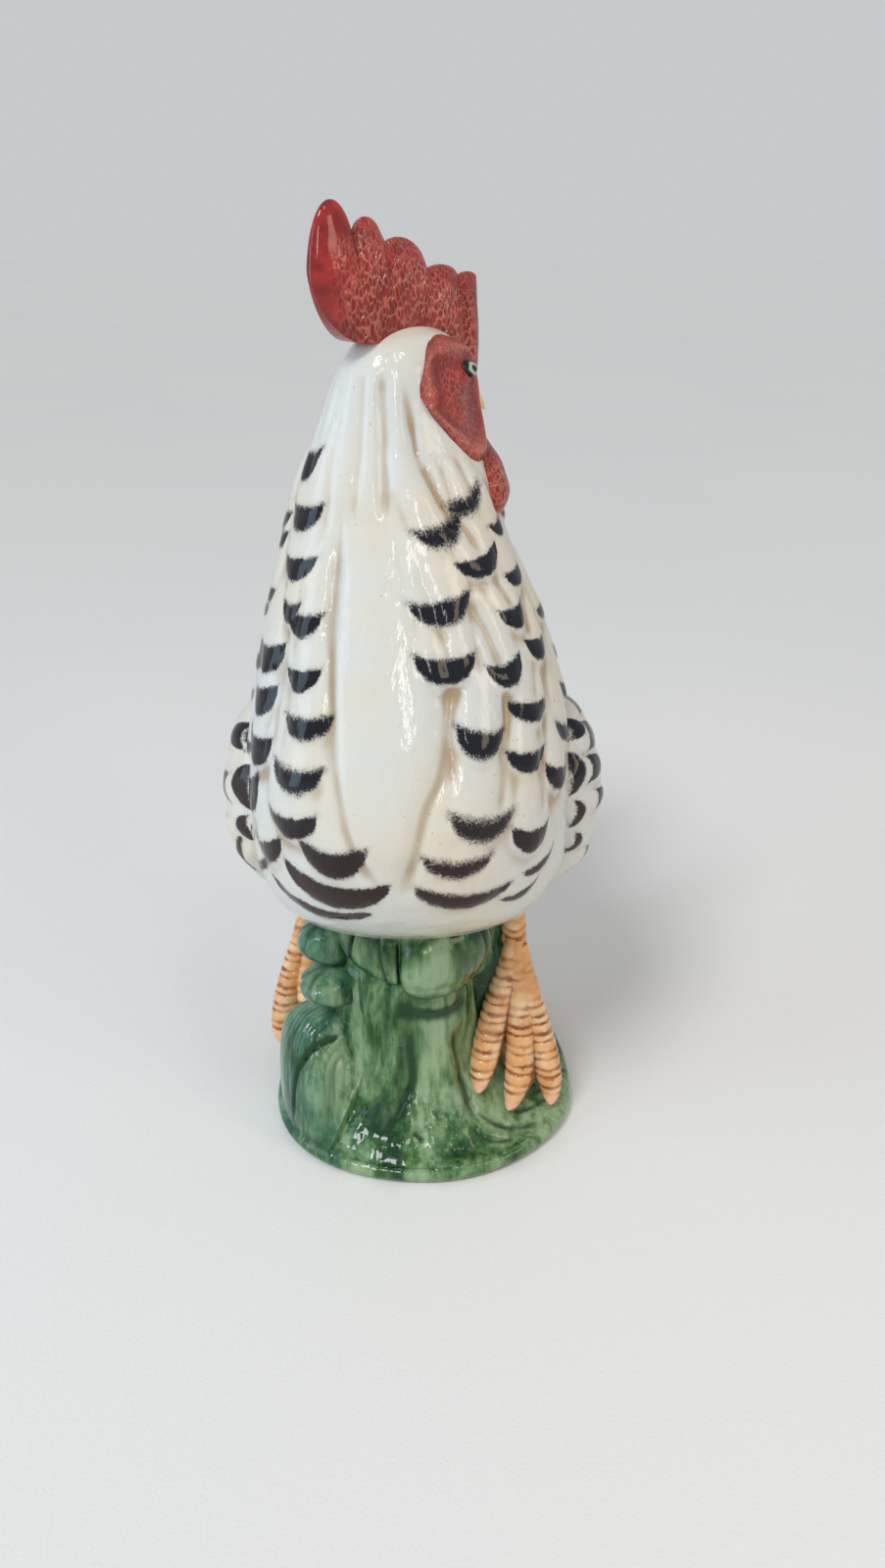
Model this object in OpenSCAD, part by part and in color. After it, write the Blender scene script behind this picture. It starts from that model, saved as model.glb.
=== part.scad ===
// Standing rooster figurine, glazed earthenware, hollow cast in pieces and luted together.
// The breast faces -Y, up is +Z, and the origin lies on the underside of the base.

/* [Base] */
// Half the width of the base, side to side
base_half_w = 57; // [45:1:75]
// Reach of the base in front of the origin
base_front = 47; // [38:1:60]
// Reach of the base behind the origin
base_back = 75; // [70:1:84]
// Height of the rounded edge of the base
edge_h = 7; // [4:0.5:10]
// How far the edge pulls in where it meets the table
edge_pull = 3.5; // [1:0.5:5]
// Thickness of the floor of the base
floor_t = 6; // [4:0.5:9]
// Height at which the mound meets the stump
mound_top = 27; // [20:1:32]
// Diameter of the pour hole under the base
pour_d = 18; // [10:1:22]
// Distance of the pour hole behind the middle of the foot of the stump
pour_back = 15; // [14:0.5:16]

/* [Stump] */
// Sideways place of the stump
stump_x = -5.5; // [-9:0.5:0]
// Front to back place of the foot of the stump
stump_y = -1; // [-5:0.5:4]
// Radius of the stump where it meets the mound
stump_foot_r = 28; // [25:0.5:30]
// Radius of the stump where it meets the belly
stump_top_r = 21; // [19:0.5:23]
// How far the top of the stump sits behind its foot
stump_lean = 9; // [5:0.5:12]
// Depth of the folds between the roots
root_fold = 1.6; // [0:0.1:2.5]
// How far the burl stands out from the stump
burl_t = 13; // [8:0.5:15]
// Height of the burl
burl_h = 26; // [18:1:28]
// How far the leaves stand out from the stump
leaf_t = 8; // [4:0.5:10]
// Height of the leaf in front
leaf_h = 22; // [16:1:26]
// How far the knot and the cut branch stand out from the stump
knot_t = 16; // [10:0.5:18]
// Height of the knot and of the cut branch
knot_h = 13; // [9:0.5:14]
// Height of the tuft of grass beside the stump
tuft_h = 46; // [36:1:50]
// Depth of the furrows between the blades of the tuft
furrow = 1.4; // [0:0.1:2]

/* [Body] */
// Height of the seam between the stump and the belly
belly_z = 82; // [74:1:92]
// Height of the body from the belly seam to the neck seam
body_h = 150; // [130:1:170]
// Half the width of the body at its fullest
body_half_w = 55; // [48:1:62]
// Reach of the breast in front of the origin
breast = 57; // [50:1:64]
// Reach of the rump behind the origin
rump = 84; // [72:1:96]
// Sideways place of the body
body_x = -5.5; // [-7:0.5:-3]
// Wall of the hollow castings
cast_wall = 5; // [3.5:0.25:7]
// Height of the long feather ridges on the neck and breast
ridge_h = 1.1; // [0:0.1:2]

/* [Head] */
// Height of the head casting from the neck seam to the crown
head_h = 52; // [46:1:60]
// Sideways place of the head
head_x = -3; // [-6:0.5:1]
// Front to back place of the head
head_y = 5; // [0:0.5:9]
// Half the length of the neck where the head turns
head_half_l = 30; // [27:0.5:34]
// Half the width of the neck where the head turns
head_half_w = 30; // [27:0.5:33]
// Direction in which the beak points, counted from +X
head_turn = 42; // [20:1:60]
// Length of the beak beyond the face
beak_l = 12; // [9:0.5:16]
// Half the width of the beak at its root
beak_half_w = 6.5; // [5:0.25:7.5]
// Diameter of an eye
eye_d = 5.25; // [4:0.25:7]
// Thickness of an eye
eye_t = 1.6; // [1:0.1:2.5]
// Thickness of the face patches
face_t = 3; // [2:0.25:5]
// Thickness of the wattles
wattle_t = 6.5; // [4:0.5:8]

/* [Comb] */
// Length of the comb
comb_l = 62; // [50:1:70]
// Height of the comb from the crown to its highest point
comb_h = 33; // [24:1:40]
// Thickness of the comb at its root
comb_t = 10; // [7:0.5:13]

/* [Wings] */
// Height of a wing from its lower edge to its upper edge
wing_h = 72; // [60:1:80]
// Height of the lowest point of a wing
wing_z = 95; // [90:1:104]
// How far a wing stands out from the body
wing_t = 12.5; // [9:0.5:15]
// Step between two rows of wing feathers
feather_step = 1.5; // [0.5:0.1:2.5]

/* [Tail] */
// Height of the tail from its root to its top
tail_h = 92; // [80:1:110]
// Reach of the tail behind the rump
tail_l = 68; // [55:1:80]
// Thickness of the core of the tail at its root
tail_t = 34; // [26:1:42]
// Thickness of the core of the tail at its top
tail_top_t = 16; // [12:0.5:22]
// Thickness of a sickle feather
sickle_t = 6; // [4:0.5:8]
// Half the width of a sickle feather
sickle_half_w = 11; // [8:0.5:13]

/* [Legs] */
// Distance of each leg from the middle of the body
leg_spread = 40.5; // [39:0.5:43]
// Distance of the left leg behind the origin
leg_y = 4; // [0:0.5:8]
// How far the right leg stands behind the left one
stride = 36; // [34:0.5:38]
// How much nearer to the middle the right leg stands
leg_in = 2; // [1:0.5:3]
// Radius of a shank below the belly
shank_top_r = 4.2; // [3:0.2:5]
// Radius of a shank where it meets the foot
shank_foot_r = 6.4; // [5:0.2:7.5]
// Height of a foot above the ground
foot_h = 34; // [26:1:38]
// Length of the middle toe
toe_l = 28; // [24:1:29]
// Half the width of a toe
toe_half_w = 5; // [4:0.2:5]
// Thickness of a toe beside its claw
toe_tip_h = 6; // [4:0.5:8]

/* [Fit] */
// Gap left for the slip between pieces that are luted on
slip_gap = 0.3; // [0.2:0.05:0.5]

/* [Hidden] */

// Points round one ring of a casting
ring_n = 44;
neck_z = belly_z + body_h;
crown_z = neck_z + head_h;
edge_r = 0.5;

// Sections of the body, evenly counted from the belly seam up to the neck seam
body_z_shares = [0, 0.04, 0.107, 0.187, 0.307, 0.453, 0.6, 0.753, 0.887, 1];
body_w_shares = [0.4, 0.66, 0.84, 0.94, 0.98, 0.955, 0.89, 0.78, 0.66, 0.55];
breast_shares = [0.23, 0.36, 0.61, 0.84, 0.98, 1, 0.904, 0.746, 0.596, 0.474];
rump_shares = [0.36, 0.6, 0.81, 0.94, 1, 0.93, 0.74, 0.56, 0.452, 0.393];
body_shift_shares = [1, 0.9, 0.7, 0.55, 0.4, 0.4, 0.5, 0.7, 0.95, 1.15];
section_power = 2.1;
ridge_n = 16;
ridge_twist = 40;

// Sections of the head, evenly counted from the neck seam up to the crown
head_z_shares = [0, 0.18, 0.36, 0.54, 0.7, 0.83, 0.93, 0.985, 1];
head_fore_shares = [0.87, 0.783, 0.717, 0.7, 0.683, 0.617, 0.467, 0.25, 0.06];
head_rear_shares = [1.13, 1.03, 0.95, 0.87, 0.77, 0.65, 0.48, 0.26, 0.06];
head_side_shares = [1, 0.867, 0.733, 0.633, 0.567, 0.5, 0.383, 0.2, 0.05];
head_turn_shares = [0, 0.5, 0.85, 1, 1, 1, 1, 1, 1];

// Sections of the stump, evenly counted from the mound up to the belly
stump_r_shares = [1, 0.68, 0.56, 0.56, 0.5, 0];
stump_lean_shares = [0, 0, 0, 0.05, 0.35, 1];
shoulder_share = 0.8;
root_n = 7;

// The base: bulge of its outline, waves along its rim, and rings of its top and of its hollow
base_front_power = 2.1;
base_back_power = 2.6;
rim_wave_shares = [0.012, 0.008];
edge_shares = [[1, 0], [0.3, 0.2], [0, 0.6]];
ground_shares = [0, 0.12, 0.26, 0.42, 0.6, 0.78, 0.92];
hollow_shares = [[0, 1], [0.1, 0.4], [0.16, 0]];
ground_power = 2.2;

// The lumps round the top of the stump: direction, half of the arc, and height above and below the seam
burl_angles = [-57, 34];
burl_shares = [0.75, 0.25];
leaf_front_angles = [-116, 24];
leaf_front_shares = [0.8, 0.2];
leaf_right_angles = [-6, 14];
leaf_right_shares = [1.15, 0.05];
knot_angles = [-158, 15];
knot_shares = [1, 0];
branch_angles = [-152, 16];
branch_shares = [2.1, -1.1];
leaf_lean_share = 0.3;
knot_lean_share = 0.1;

// The tuft: the arc it covers, its height along that arc, its foot, and how square its outline is
tuft_angles = [170, 233];
tuft_h_shares = [0.1, 0.86, 1, 0.98, 0.88, 0.7, 0.5, 0.15];
tuft_foot_share = 0.93;
tuft_powers = [1.9, 0.55];
blade_n = 7;
blade_lean = 1.6;

// Sections of a wing, evenly counted from the shoulder to the tip, as shares of its height
wing_top_shares = [0.86, 0.96, 1, 1, 0.97, 0.92, 0.87, 0.82, 0.78];
wing_bottom_shares = [0.2, 0.07, 0, 0, 0.05, 0.14, 0.27, 0.42, 0.58];
wing_puff_shares = [0.45, 0.8, 1, 0.98, 0.85, 0.68, 0.52, 0.4, 0.3];
wing_middle_share = 0.62;
wing_row_shares = [0.3, 0.56];
shoulder_arc_share = 0.22;
tip_arc_share = 0.35;
tip_power = 0.7;
scallop_share = 0.05;
scallop_n = 2.5;
quill_n = 5;
wing_angles = [-18, 68];

// Middle line of the tail core: reach behind the rump and height, as shares
tail_y_shares = [0.25, 0.39, 0.51, 0.585, 0.63, 0.66];
tail_z_shares = [0.02, 0.13, 0.28, 0.46, 0.62, 0.74];
tail_w_shares = [0.3, 0.335, 0.335, 0.3, 0.22, 0.1];
tail_root_share = 0.29;
tail_root_z_share = 0.5;
tail_root_facing = [0.88, 0.47];
tail_start_share = 0.8;
tail_powers = [0.3, 0.45];

// Middle line of a sickle feather and of the shorter one beside it, as shares of the tail
sickle_y_shares = [0.06, 0.16, 0.34, 0.6, 0.82, 0.86, 0.8];
sickle_z_shares = [0.36, 0.63, 0.84, 0.88, 0.72, 0.45, 0.2];
sickle_w_shares = [0.2, 0.75, 1, 1, 0.85, 0.6, 0.12];
covert_y_shares = [0.14, 0.28, 0.46, 0.6, 0.62, 0.56];
covert_z_shares = [0.14, 0.38, 0.52, 0.43, 0.18, -0.04];
covert_w_shares = [0.2, 0.8, 1, 0.9, 0.65, 0.12];

// Points of the comb: place along it, half width and height, as shares
comb_lobe_shares = [
    [0.135, 0.135, 0.98], [0.322, 0.13, 0.85], [0.505, 0.175, 0.69], [0.755, 0.125, 0.46], [0.93, 0.07, 0.39]
];
comb_base_share = 0.33;
comb_rear_share = 0.54;
comb_fore_share = 0.67;
comb_drop_share = 0.12;
comb_brow_share = 0.42;
comb_brow_start_share = 0.7;
comb_heel_share = 0.27;
comb_heel_h_share = 0.62;
comb_taper_share = 0.45;
comb_ridge_share = 0.35;

// Face patches: lower and upper edge from the rear to the front, as shares of the head, and their arc
face_low_shares = [0.62, 0.52, 0.4, 0.3, 0.3, 0.42, 0.6];
face_high_shares = [0.74, 0.88, 0.92, 0.93, 0.92, 0.9, 0.86];
face_angles = [118, 27];
wattle_low_share = 0;
wattle_high_share = 0.42;
wattle_angles = [54, 18];
eye_angle = 50;
eye_z_share = 0.77;
eye_oval_share = 0.95;

// Beak: height of each half and half its depth as shares of the head, reach and droop of the tip
beak_root_share = 0.7;
beak_upper_shares = [0.59, 0.1, 1, 0.12];
beak_lower_shares = [0.435, 0.045, 0.7, 0];

// Feet: directions of the toes seen from above, their lengths, and rings of the foot's top and seat
toe_angles = [-126, -96, -60, 84];
toe_shares = [0.84, 1, 0.92, 0.5];
toe_end_shares = [
    [0.82, -0.95], [0.92, -0.72], [0.98, -0.35], [1, 0], [0.98, 0.35], [0.92, 0.72], [0.82, 0.95]
];
ball_angles = [[-30, 0, 30, 55], [120, 150, 180, 205]];
web_share = 0.78;
foot_top_shares = [0.93, 0.8, 0.62, 0.42, 0.2];
foot_seat_shares = [0.25, 0.6, 1];
knuckle_share = 0.95;
ball_share = 1.25;
right_foot_turn = -3;

// Evenly stepped value from 0 to 1
function steps(n) = [for (i = [0:n]) i / n];
function mix(a, b, k) = a + (b - a) * k;
function held(k) = min(max(k, 0), 1);
function eased(k) = held(k) * held(k) * (3 - 2 * held(k));
function dome(v) = max(4 * v * (1 - v), 0);
function rounded(v, power) = sign(v) * pow(abs(v), power);
function heading(a, b) = (b - a) / norm(b - a);

// Smooth curve through evenly spaced values
function along(values, s) =
    let (n = len(values) - 1,
         i = min(max(floor(s * n), 0), n - 1),
         k = s * n - i,
         a = values[max(i - 1, 0)],
         b = values[i],
         c = values[i + 1],
         d = values[min(i + 2, n)])
    b + 0.5 * k * (c - a + k * (2 * a - 5 * b + 4 * c - d + k * (3 * (b - c) + d - a)));

// Radius of an oval in one direction, with its own reach in front, behind and to the side
function oval_r(angle, side, front, back, power = 2) =
    let (depth = sin(angle) < 0 ? front : back)
    pow(pow(abs(cos(angle)) / side, power) + pow(abs(sin(angle)) / depth, power), -1 / power);

// Height at which a radius that grows or shrinks with height reaches a wanted value
function height_at(radius, wanted, low, high, grows, n = 24) =
    let (mid = (low + high) / 2)
    n == 0 ? mid
    : (radius(mid) < wanted) == grows ? height_at(radius, wanted, mid, high, grows, n - 1)
    : height_at(radius, wanted, low, mid, grows, n - 1);

// Body surface: share of the way up, then radius and centre at a height
function body_z_at(s) = belly_z + body_h * along(body_z_shares, s);
body_heights = [for (s = steps(45)) [body_z_at(s), s]];
function body_s(z) = lookup(z, body_heights);
function body_cx(s) = body_x * along(body_shift_shares, s);
function ridges(angle, s) =
    let (hackles = eased((s - 0.62) * 5),
         breast_side = eased((-sin(angle) - 0.35) * 3) * eased((s - 0.22) * 5) * eased((0.75 - s) * 5))
    ridge_h * (hackles + breast_side) * (abs(sin(ridge_n / 2 * angle + ridge_twist * s)) - 0.6);
function body_r(angle, s) =
    oval_r(angle, body_half_w * along(body_w_shares, s), breast * along(breast_shares, s),
           rump * along(rump_shares, s), section_power) + ridges(angle, s);
function body_at(angle, z, off = 0) =
    let (s = body_s(z), r = body_r(angle, s) + off)
    [body_cx(s) + r * cos(angle), r * sin(angle), z];
function body_back_y(x, z) =
    let (s = body_s(z), side = body_half_w * along(body_w_shares, s))
    rump * along(rump_shares, s)
    * pow(max(1 - pow(abs(x - body_cx(s)) / side, section_power), 0), 1 / section_power);
function belly_under(x, y) =
    let (radius = function (z)
             let (s = body_s(z), dx = x - body_cx(s))
             body_r(atan2(y, dx), s) - norm([dx, y]))
    height_at(radius, 0, belly_z, belly_z + body_h * 0.25, true);

// Head surface, which turns from the neck's section to the skull's
function head_at_s(angle, s, off = 0) =
    let (k = along(head_turn_shares, s),
         cx = mix(body_cx(1), head_x, k),
         cy = mix(0, head_y, k),
         skull = oval_r(angle - head_turn + 90, head_half_w * along(head_side_shares, s),
                        head_half_l * along(head_rear_shares, s),
                        head_half_l * along(head_fore_shares, s)),
         r = mix(body_r(angle, 1), skull, k) + off)
    [cx + r * cos(angle), cy + r * sin(angle), neck_z + head_h * along(head_z_shares, s)];
head_heights = [for (s = steps(40)) [head_h * along(head_z_shares, s), s]];
function head_at(turned, z, off = 0) = head_at_s(turned + head_turn, lookup(z - neck_z, head_heights), off);
function head_spot(ahead, side) =
    [head_x + ahead * cos(head_turn) + side * sin(head_turn),
     head_y + ahead * sin(head_turn) - side * cos(head_turn)];
function crown_over(ahead, side) =
    let (turned = atan2(-side, ahead),
         wanted = max(norm([ahead, side]), edge_r),
         radius = function (z)
             let (p = head_at(turned, z)) norm([p[0] - head_x, p[1] - head_y]))
    height_at(radius, wanted, neck_z + head_h * 0.5, crown_z, false);

// Thickness of a face patch, and the same read from a direction and a height on the head
function face_rise(u, v) =
    let (edge = min(dome(u), dome(v)))
    face_t * (0.45 * sqrt(edge) + 0.55 * eased(edge * 3.5) * eased((1.1 - edge) * 2));
function face_rise_at(turned, z) =
    let (u = (turned - face_angles[0]) / (face_angles[1] - face_angles[0]),
         low = along(face_low_shares, u),
         high = along(face_high_shares, u))
    face_rise(u, ((z - neck_z) / head_h - low) / (high - low));

// Stump surface
stump_h = belly_z - mound_top;
function stump_s(z) = (z - mound_top) / stump_h;
function stump_cy(s) = stump_y + stump_lean * along(stump_lean_shares, s);
function stump_r(angle, s) =
    mix(stump_top_r, stump_foot_r, along(stump_r_shares, s))
    + root_fold * (1 - eased(s * 1.4)) * cos(root_n * angle);
function stump_at(angle, z, off = 0) =
    let (s = min(stump_s(z), shoulder_share), r = stump_r(angle, s) + off)
    [stump_x + r * cos(angle), stump_cy(s) + r * sin(angle), z];

// Ground surface of the base, falling from the stump to the edge
function base_r(angle) =
    let (wave = 1 + rim_wave_shares[0] * sin(3 * angle + 40) + rim_wave_shares[1] * cos(5 * angle),
         power = sin(angle) < 0 ? base_front_power : base_back_power)
    oval_r(angle, base_half_w, base_front, base_back, power) * wave;
function ground_spot(angle, k) =
    let (foot = [stump_x + stump_r(angle, 0) * cos(angle), stump_y + stump_r(angle, 0) * sin(angle)],
         rim = [base_r(angle) * cos(angle), base_r(angle) * sin(angle)])
    mix(foot, rim, k);
function ground_fall(k) = edge_h + (mound_top - edge_h) * pow(1 - held(k), ground_power);
function ground_z(x, y) =
    let (angle = atan2(y - stump_y, x - stump_x),
         foot = stump_r(angle, 0),
         out = norm([x - stump_x, y - stump_y]),
         rim = base_r(angle) - (stump_x * cos(angle) + stump_y * sin(angle)))
    ground_fall((out - foot) / (rim - foot));

function two_faces(a, b, c, d) = [[a, b, c], [a, c, d]];

// Skin over rows of points, closed by one point at each end
module loft(rows, first, last, turned = false) {
    n = len(rows[0]);
    count = len(rows);
    points = concat([first], [for (row = rows) each row], [last]);
    function id(i, j) = 1 + i * n + (j % n);
    sides = [for (i = [0:count - 2], j = [0:n - 1])
        each two_faces(id(i, j), id(i + 1, j), id(i + 1, j + 1), id(i, j + 1))];
    ends = [for (j = [0:n - 1])
        each [[0, id(0, j), id(0, j + 1)], [len(points) - 1, id(count - 1, j + 1), id(count - 1, j)]]];
    faces = concat(sides, ends);
    polyhedron(points, turned ? [for (f = faces) [f[2], f[1], f[0]]] : faces, convexity = 6);
}

// Skin over rows that run up the outside and back down the inside of an open casting
module open_casting(rows) {
    n = len(rows[0]);
    count = len(rows);
    function id(i, j) = (i % count) * n + (j % n);
    polyhedron([for (row = rows) each row],
        [for (i = [0:count - 1], j = [0:n - 1])
            each two_faces(id(i, j), id(i + 1, j), id(i + 1, j + 1), id(i, j + 1))],
        convexity = 6);
}

// One ring of a pad that lies on a surface: out over its top, then back along its seat
function pad_ring(lay, low, high, u, thick, n) = concat(
    [for (v = steps(n)) lay(mix(low, high, v), u, slip_gap + thick(u, v))],
    [for (i = [1:n - 1]) lay(mix(high, low, i / n), u, slip_gap)]
);

function turn_of(i) = 360 * i / ring_n;

module ground_mound() {
    function rim_row(pull, z) = [for (i = [0:ring_n - 1])
        let (a = turn_of(i)) [(base_r(a) - pull) * cos(a), (base_r(a) - pull) * sin(a), z]];
    function ground_row(k) = [for (i = [0:ring_n - 1])
        let (p = ground_spot(turn_of(i), k)) [p[0], p[1], ground_fall(k)]];
    function hollow_row(k, z) = [for (i = [0:ring_n - 1])
        let (a = turn_of(i), p = ground_spot(a, k) - cast_wall * [cos(a), sin(a)]) [p[0], p[1], z]];
    color("seagreen")
    difference() {
        loft(concat(
            [for (shares = edge_shares) rim_row(edge_pull * shares[0], edge_h * shares[1])],
            [for (i = [len(ground_shares) - 1:-1:0]) ground_row(ground_shares[i])],
            [for (shares = hollow_shares) hollow_row(shares[0], mix(floor_t, mound_top, shares[1]))]),
            [0, 0, 0], [stump_x, stump_y, floor_t]);
        translate([stump_x, stump_y + pour_back, -floor_t]) cylinder(d = pour_d, h = 3 * floor_t, $fn = 32);
    }
}

module tree_stump() {
    outer_n = 8;
    function row(s, off) = [for (i = [0:ring_n - 1])
        let (a = turn_of(i), r = stump_r(a, s) + off)
        [stump_x + r * cos(a), stump_cy(s) + r * sin(a), mix(mound_top, belly_z, s)]];
    color("darkgreen")
    open_casting(concat(
        [for (s = steps(outer_n)) row(s, 0)],
        [for (s = [1, 0.8, 0.5, 0.2, 0]) row(s, -cast_wall)]));
}

// Rounded lump on the side of the stump, leaning up under the belly
module stump_lump(arc, height, reach_shares, thick, lean) {
    rows_n = 9;
    across_n = 6;
    low = belly_z - reach_shares[0] * height;
    high = belly_z + reach_shares[1] * height;
    mid = (low + high) / 2;
    half = (high - low) / 2;
    lay = function (at, u, off)
        let (p = stump_at(arc[0] + arc[1] * cos(180 * u), at, off)) [p[0], p[1], p[2] + lean * off];
    bulge = function (u, v) thick * sqrt(dome(v) * sin(180 * u));
    loft([for (i = [1:rows_n - 1])
        let (u = i / rows_n, h = half * sqrt(sin(180 * u)))
        pad_ring(lay, mid - h, mid + h, u, bulge, across_n)],
        lay(mid, 0, slip_gap), lay(mid, 1, slip_gap));
}

module burl() {
    color("mediumseagreen") stump_lump(burl_angles, burl_h, burl_shares, burl_t, leaf_lean_share);
}

module leaf_front() {
    color("seagreen") stump_lump(leaf_front_angles, leaf_h, leaf_front_shares, leaf_t, leaf_lean_share);
}

module leaf_right() {
    color("darkgreen") stump_lump(leaf_right_angles, leaf_h, leaf_right_shares, leaf_t, leaf_lean_share);
}

module knot_left() {
    color("teal") stump_lump(knot_angles, knot_h, knot_shares, knot_t, knot_lean_share);
}

module branch_stub() {
    color("seagreen") stump_lump(branch_angles, knot_h, branch_shares, knot_t, knot_lean_share);
}

// Tuft of grass that fills the corner between the ground and the stump, with its blades as ridges
module grass_tuft() {
    rows_n = 16;
    top_n = 8;
    seat_n = 6;
    foot_n = 3;
    function spot(a, r, z) = [stump_x + r * cos(a), stump_y + r * sin(a), z];
    function out_at(a, k) = let (p = ground_spot(a, k)) norm([p[0] - stump_x, p[1] - stump_y]);
    function ring(u) =
        let (a = mix(tuft_angles[0], tuft_angles[1], u),
             rim = out_at(a, tuft_foot_share),
             foot_z = ground_fall(tuft_foot_share) + slip_gap,
             top_z = mix(mound_top, tuft_h, along(tuft_h_shares, u)) + slip_gap,
             stump_side = stump_r(a, stump_s(top_z)) + slip_gap,
             power = mix(tuft_powers[0], tuft_powers[1], eased(dome(u) * 1.5)))
        concat(
            [for (v = steps(top_n))
                let (r = mix(stump_side, rim, pow(cos(90 * v), power)),
                     rise = pow(sin(90 * v), power),
                     turn = 180 * (blade_n * u + blade_lean * v),
                     blade = furrow * sqrt(dome(v)) * (abs(sin(turn)) - 1))
                spot(a, r + blade, mix(foot_z, top_z, rise) + blade)],
            [for (i = [foot_n - 1:-1:1]) let (z = mix(mound_top, top_z, i / foot_n))
                spot(a, stump_r(a, stump_s(z)) + slip_gap, z)],
            [for (i = [0:seat_n - 1]) let (k = tuft_foot_share * i / seat_n)
                spot(a, out_at(a, k) + slip_gap, ground_fall(k) + slip_gap)]);
    rows = [for (u = steps(rows_n)) ring(u)];
    function middle(row) = [for (i = [0:2]) (row[0][i] + row[top_n][i] + row[top_n + foot_n][i]) / 3];
    color("forestgreen") loft(rows, middle(rows[0]), middle(rows[rows_n]), true);
}

module body_shell() {
    outer_n = 17;
    inner_shares = [1, 0.8, 0.6, 0.4, 0.22, 0.1, 0];
    function row(s) = [for (i = [0:ring_n - 1]) body_at(turn_of(i), body_z_at(s))];
    function inner_r(a, z) =
        let (s = body_s(z), lower = body_s(z - cast_wall))
        min(body_r(a, s) - cast_wall,
            z - cast_wall < belly_z ? body_r(a, 0) - cast_wall + (z - belly_z)
            : body_r(a, lower) + body_cx(lower) - body_cx(s));
    function inner_row(s) = [for (i = [0:ring_n - 1])
        let (a = turn_of(i), z = body_z_at(s), r = inner_r(a, z)) [body_cx(s) + r * cos(a), r * sin(a), z]];
    color("ivory")
    open_casting(concat([for (s = steps(outer_n)) row(s)], [for (s = inner_shares) inner_row(s)]));
}

module head_neck() {
    outer_shares = [0, 0.12, 0.25, 0.375, 0.5, 0.6, 0.7, 0.8, 0.88, 0.95];
    inner_shares = [0.7, 0.5, 0.3, 0.15, 0];
    function row(s, off) = [for (i = [0:ring_n - 1]) head_at_s(turn_of(i), s, off)];
    color("ivory")
    loft(concat([for (s = inner_shares) row(s, -cast_wall)], [for (s = outer_shares) row(s, 0)]),
        [head_x, head_y, crown_z - cast_wall], [head_x, head_y, crown_z]);
}

// Wing laid on the side of the body, with rows of feathers that step down towards its tip
module wing(side) {
    rows_n = 19;
    across_n = 10;
    lay = function (at, u, off)
        let (a = mix(wing_angles[0], wing_angles[1], u)) body_at(side > 0 ? a : 180 - a, at, off);
    mid = wing_z + wing_h * wing_middle_share;
    function end_round(u) =
        let (shoulder = 1 - min(u / shoulder_arc_share, 1), tip = min((1 - u) / tip_arc_share, 1))
        sqrt(1 - shoulder * shoulder) * pow(tip, tip_power);
    function edge(shares, u) = mix(mid, wing_z + wing_h * along(shares, u), end_round(u));
    function row_over(share, u, v) =
        let (past = u - share - scallop_share * abs(sin(360 * scallop_n * v))) 1 - eased(past * 16);
    thick = function (u, v)
        let (rows_over = row_over(wing_row_shares[0], u, v) + row_over(wing_row_shares[1], u, v),
             quill = abs(sin(180 * quill_n * v)) * eased((u - wing_row_shares[1]) * 8),
             relief = rows_over + quill / 2 - 1)
        sqrt(dome(v)) * end_round(u) * (wing_t * along(wing_puff_shares, u) + feather_step * relief);
    rows = [for (i = [1:rows_n - 1])
        let (u = (1 - cos(180 * i / rows_n)) / 2)
        pad_ring(lay, edge(wing_bottom_shares, u), edge(wing_top_shares, u), u, thick, across_n)];
    loft(rows, lay(mid, 0, slip_gap), lay(mid, 1, slip_gap), side > 0);
}

module wing_left() {
    color("linen") wing(1);
}

module wing_right() {
    color("linen") wing(-1);
}

// Core of the tail, which grows out of the rump and narrows upwards
tail_root_z = belly_z + body_h * tail_root_z_share;
function tail_y(share) = rump * tail_start_share + tail_l * share;
function tail_z(share) = tail_root_z + tail_h * share;
function tail_half_t(z) = mix(tail_t, tail_top_t, held((z - tail_root_z) / tail_h)) / 2;

module tail_core() {
    rows_n = 10;
    around_n = 20;
    root_shares = [0.3, 0.6, 0.85, 1];
    root_half = tail_h * tail_root_share;
    function root_ring(k) = [for (j = [0:around_n - 1])
        let (t = 360 * j / around_n,
             x = body_x + k * tail_t / 2 * rounded(sin(t), tail_powers[0]),
             z = tail_root_z + k * root_half * rounded(cos(t), tail_powers[1]))
        [x, body_back_y(x, z) + slip_gap, z]];
    function mid(s) = [tail_y(along(tail_y_shares, s)), tail_z(along(tail_z_shares, s))];
    function lean(s) = heading(mid(max(s - 0.05, 0)), mid(min(s + 0.05, 1)));
    function facing(s) = heading([0, 0], mix(tail_root_facing, lean(s), eased(2 * s)));
    function path_ring(s) = [for (j = [0:around_n - 1])
        let (t = 360 * j / around_n,
             c = mid(s),
             d = facing(s),
             half = tail_h * along(tail_w_shares, s),
             across = rounded(sin(t), tail_powers[0]) * (1 - pow(s, 6) / 2),
             along_fan = half * rounded(cos(t), tail_powers[1]),
             y = c[0] - along_fan * d[1],
             z = c[1] + along_fan * d[0])
        [body_x + tail_half_t(z) * across, y, z]];
    top = mid(1) + lean(1) * tail_top_t / 3;
    color("ivory")
    loft(concat([for (k = root_shares) root_ring(k)], [for (s = steps(rows_n)) path_ring(s)]),
        [body_x, body_back_y(body_x, tail_root_z) + slip_gap, tail_root_z],
        [body_x, top[0], top[1]]);
}

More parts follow.
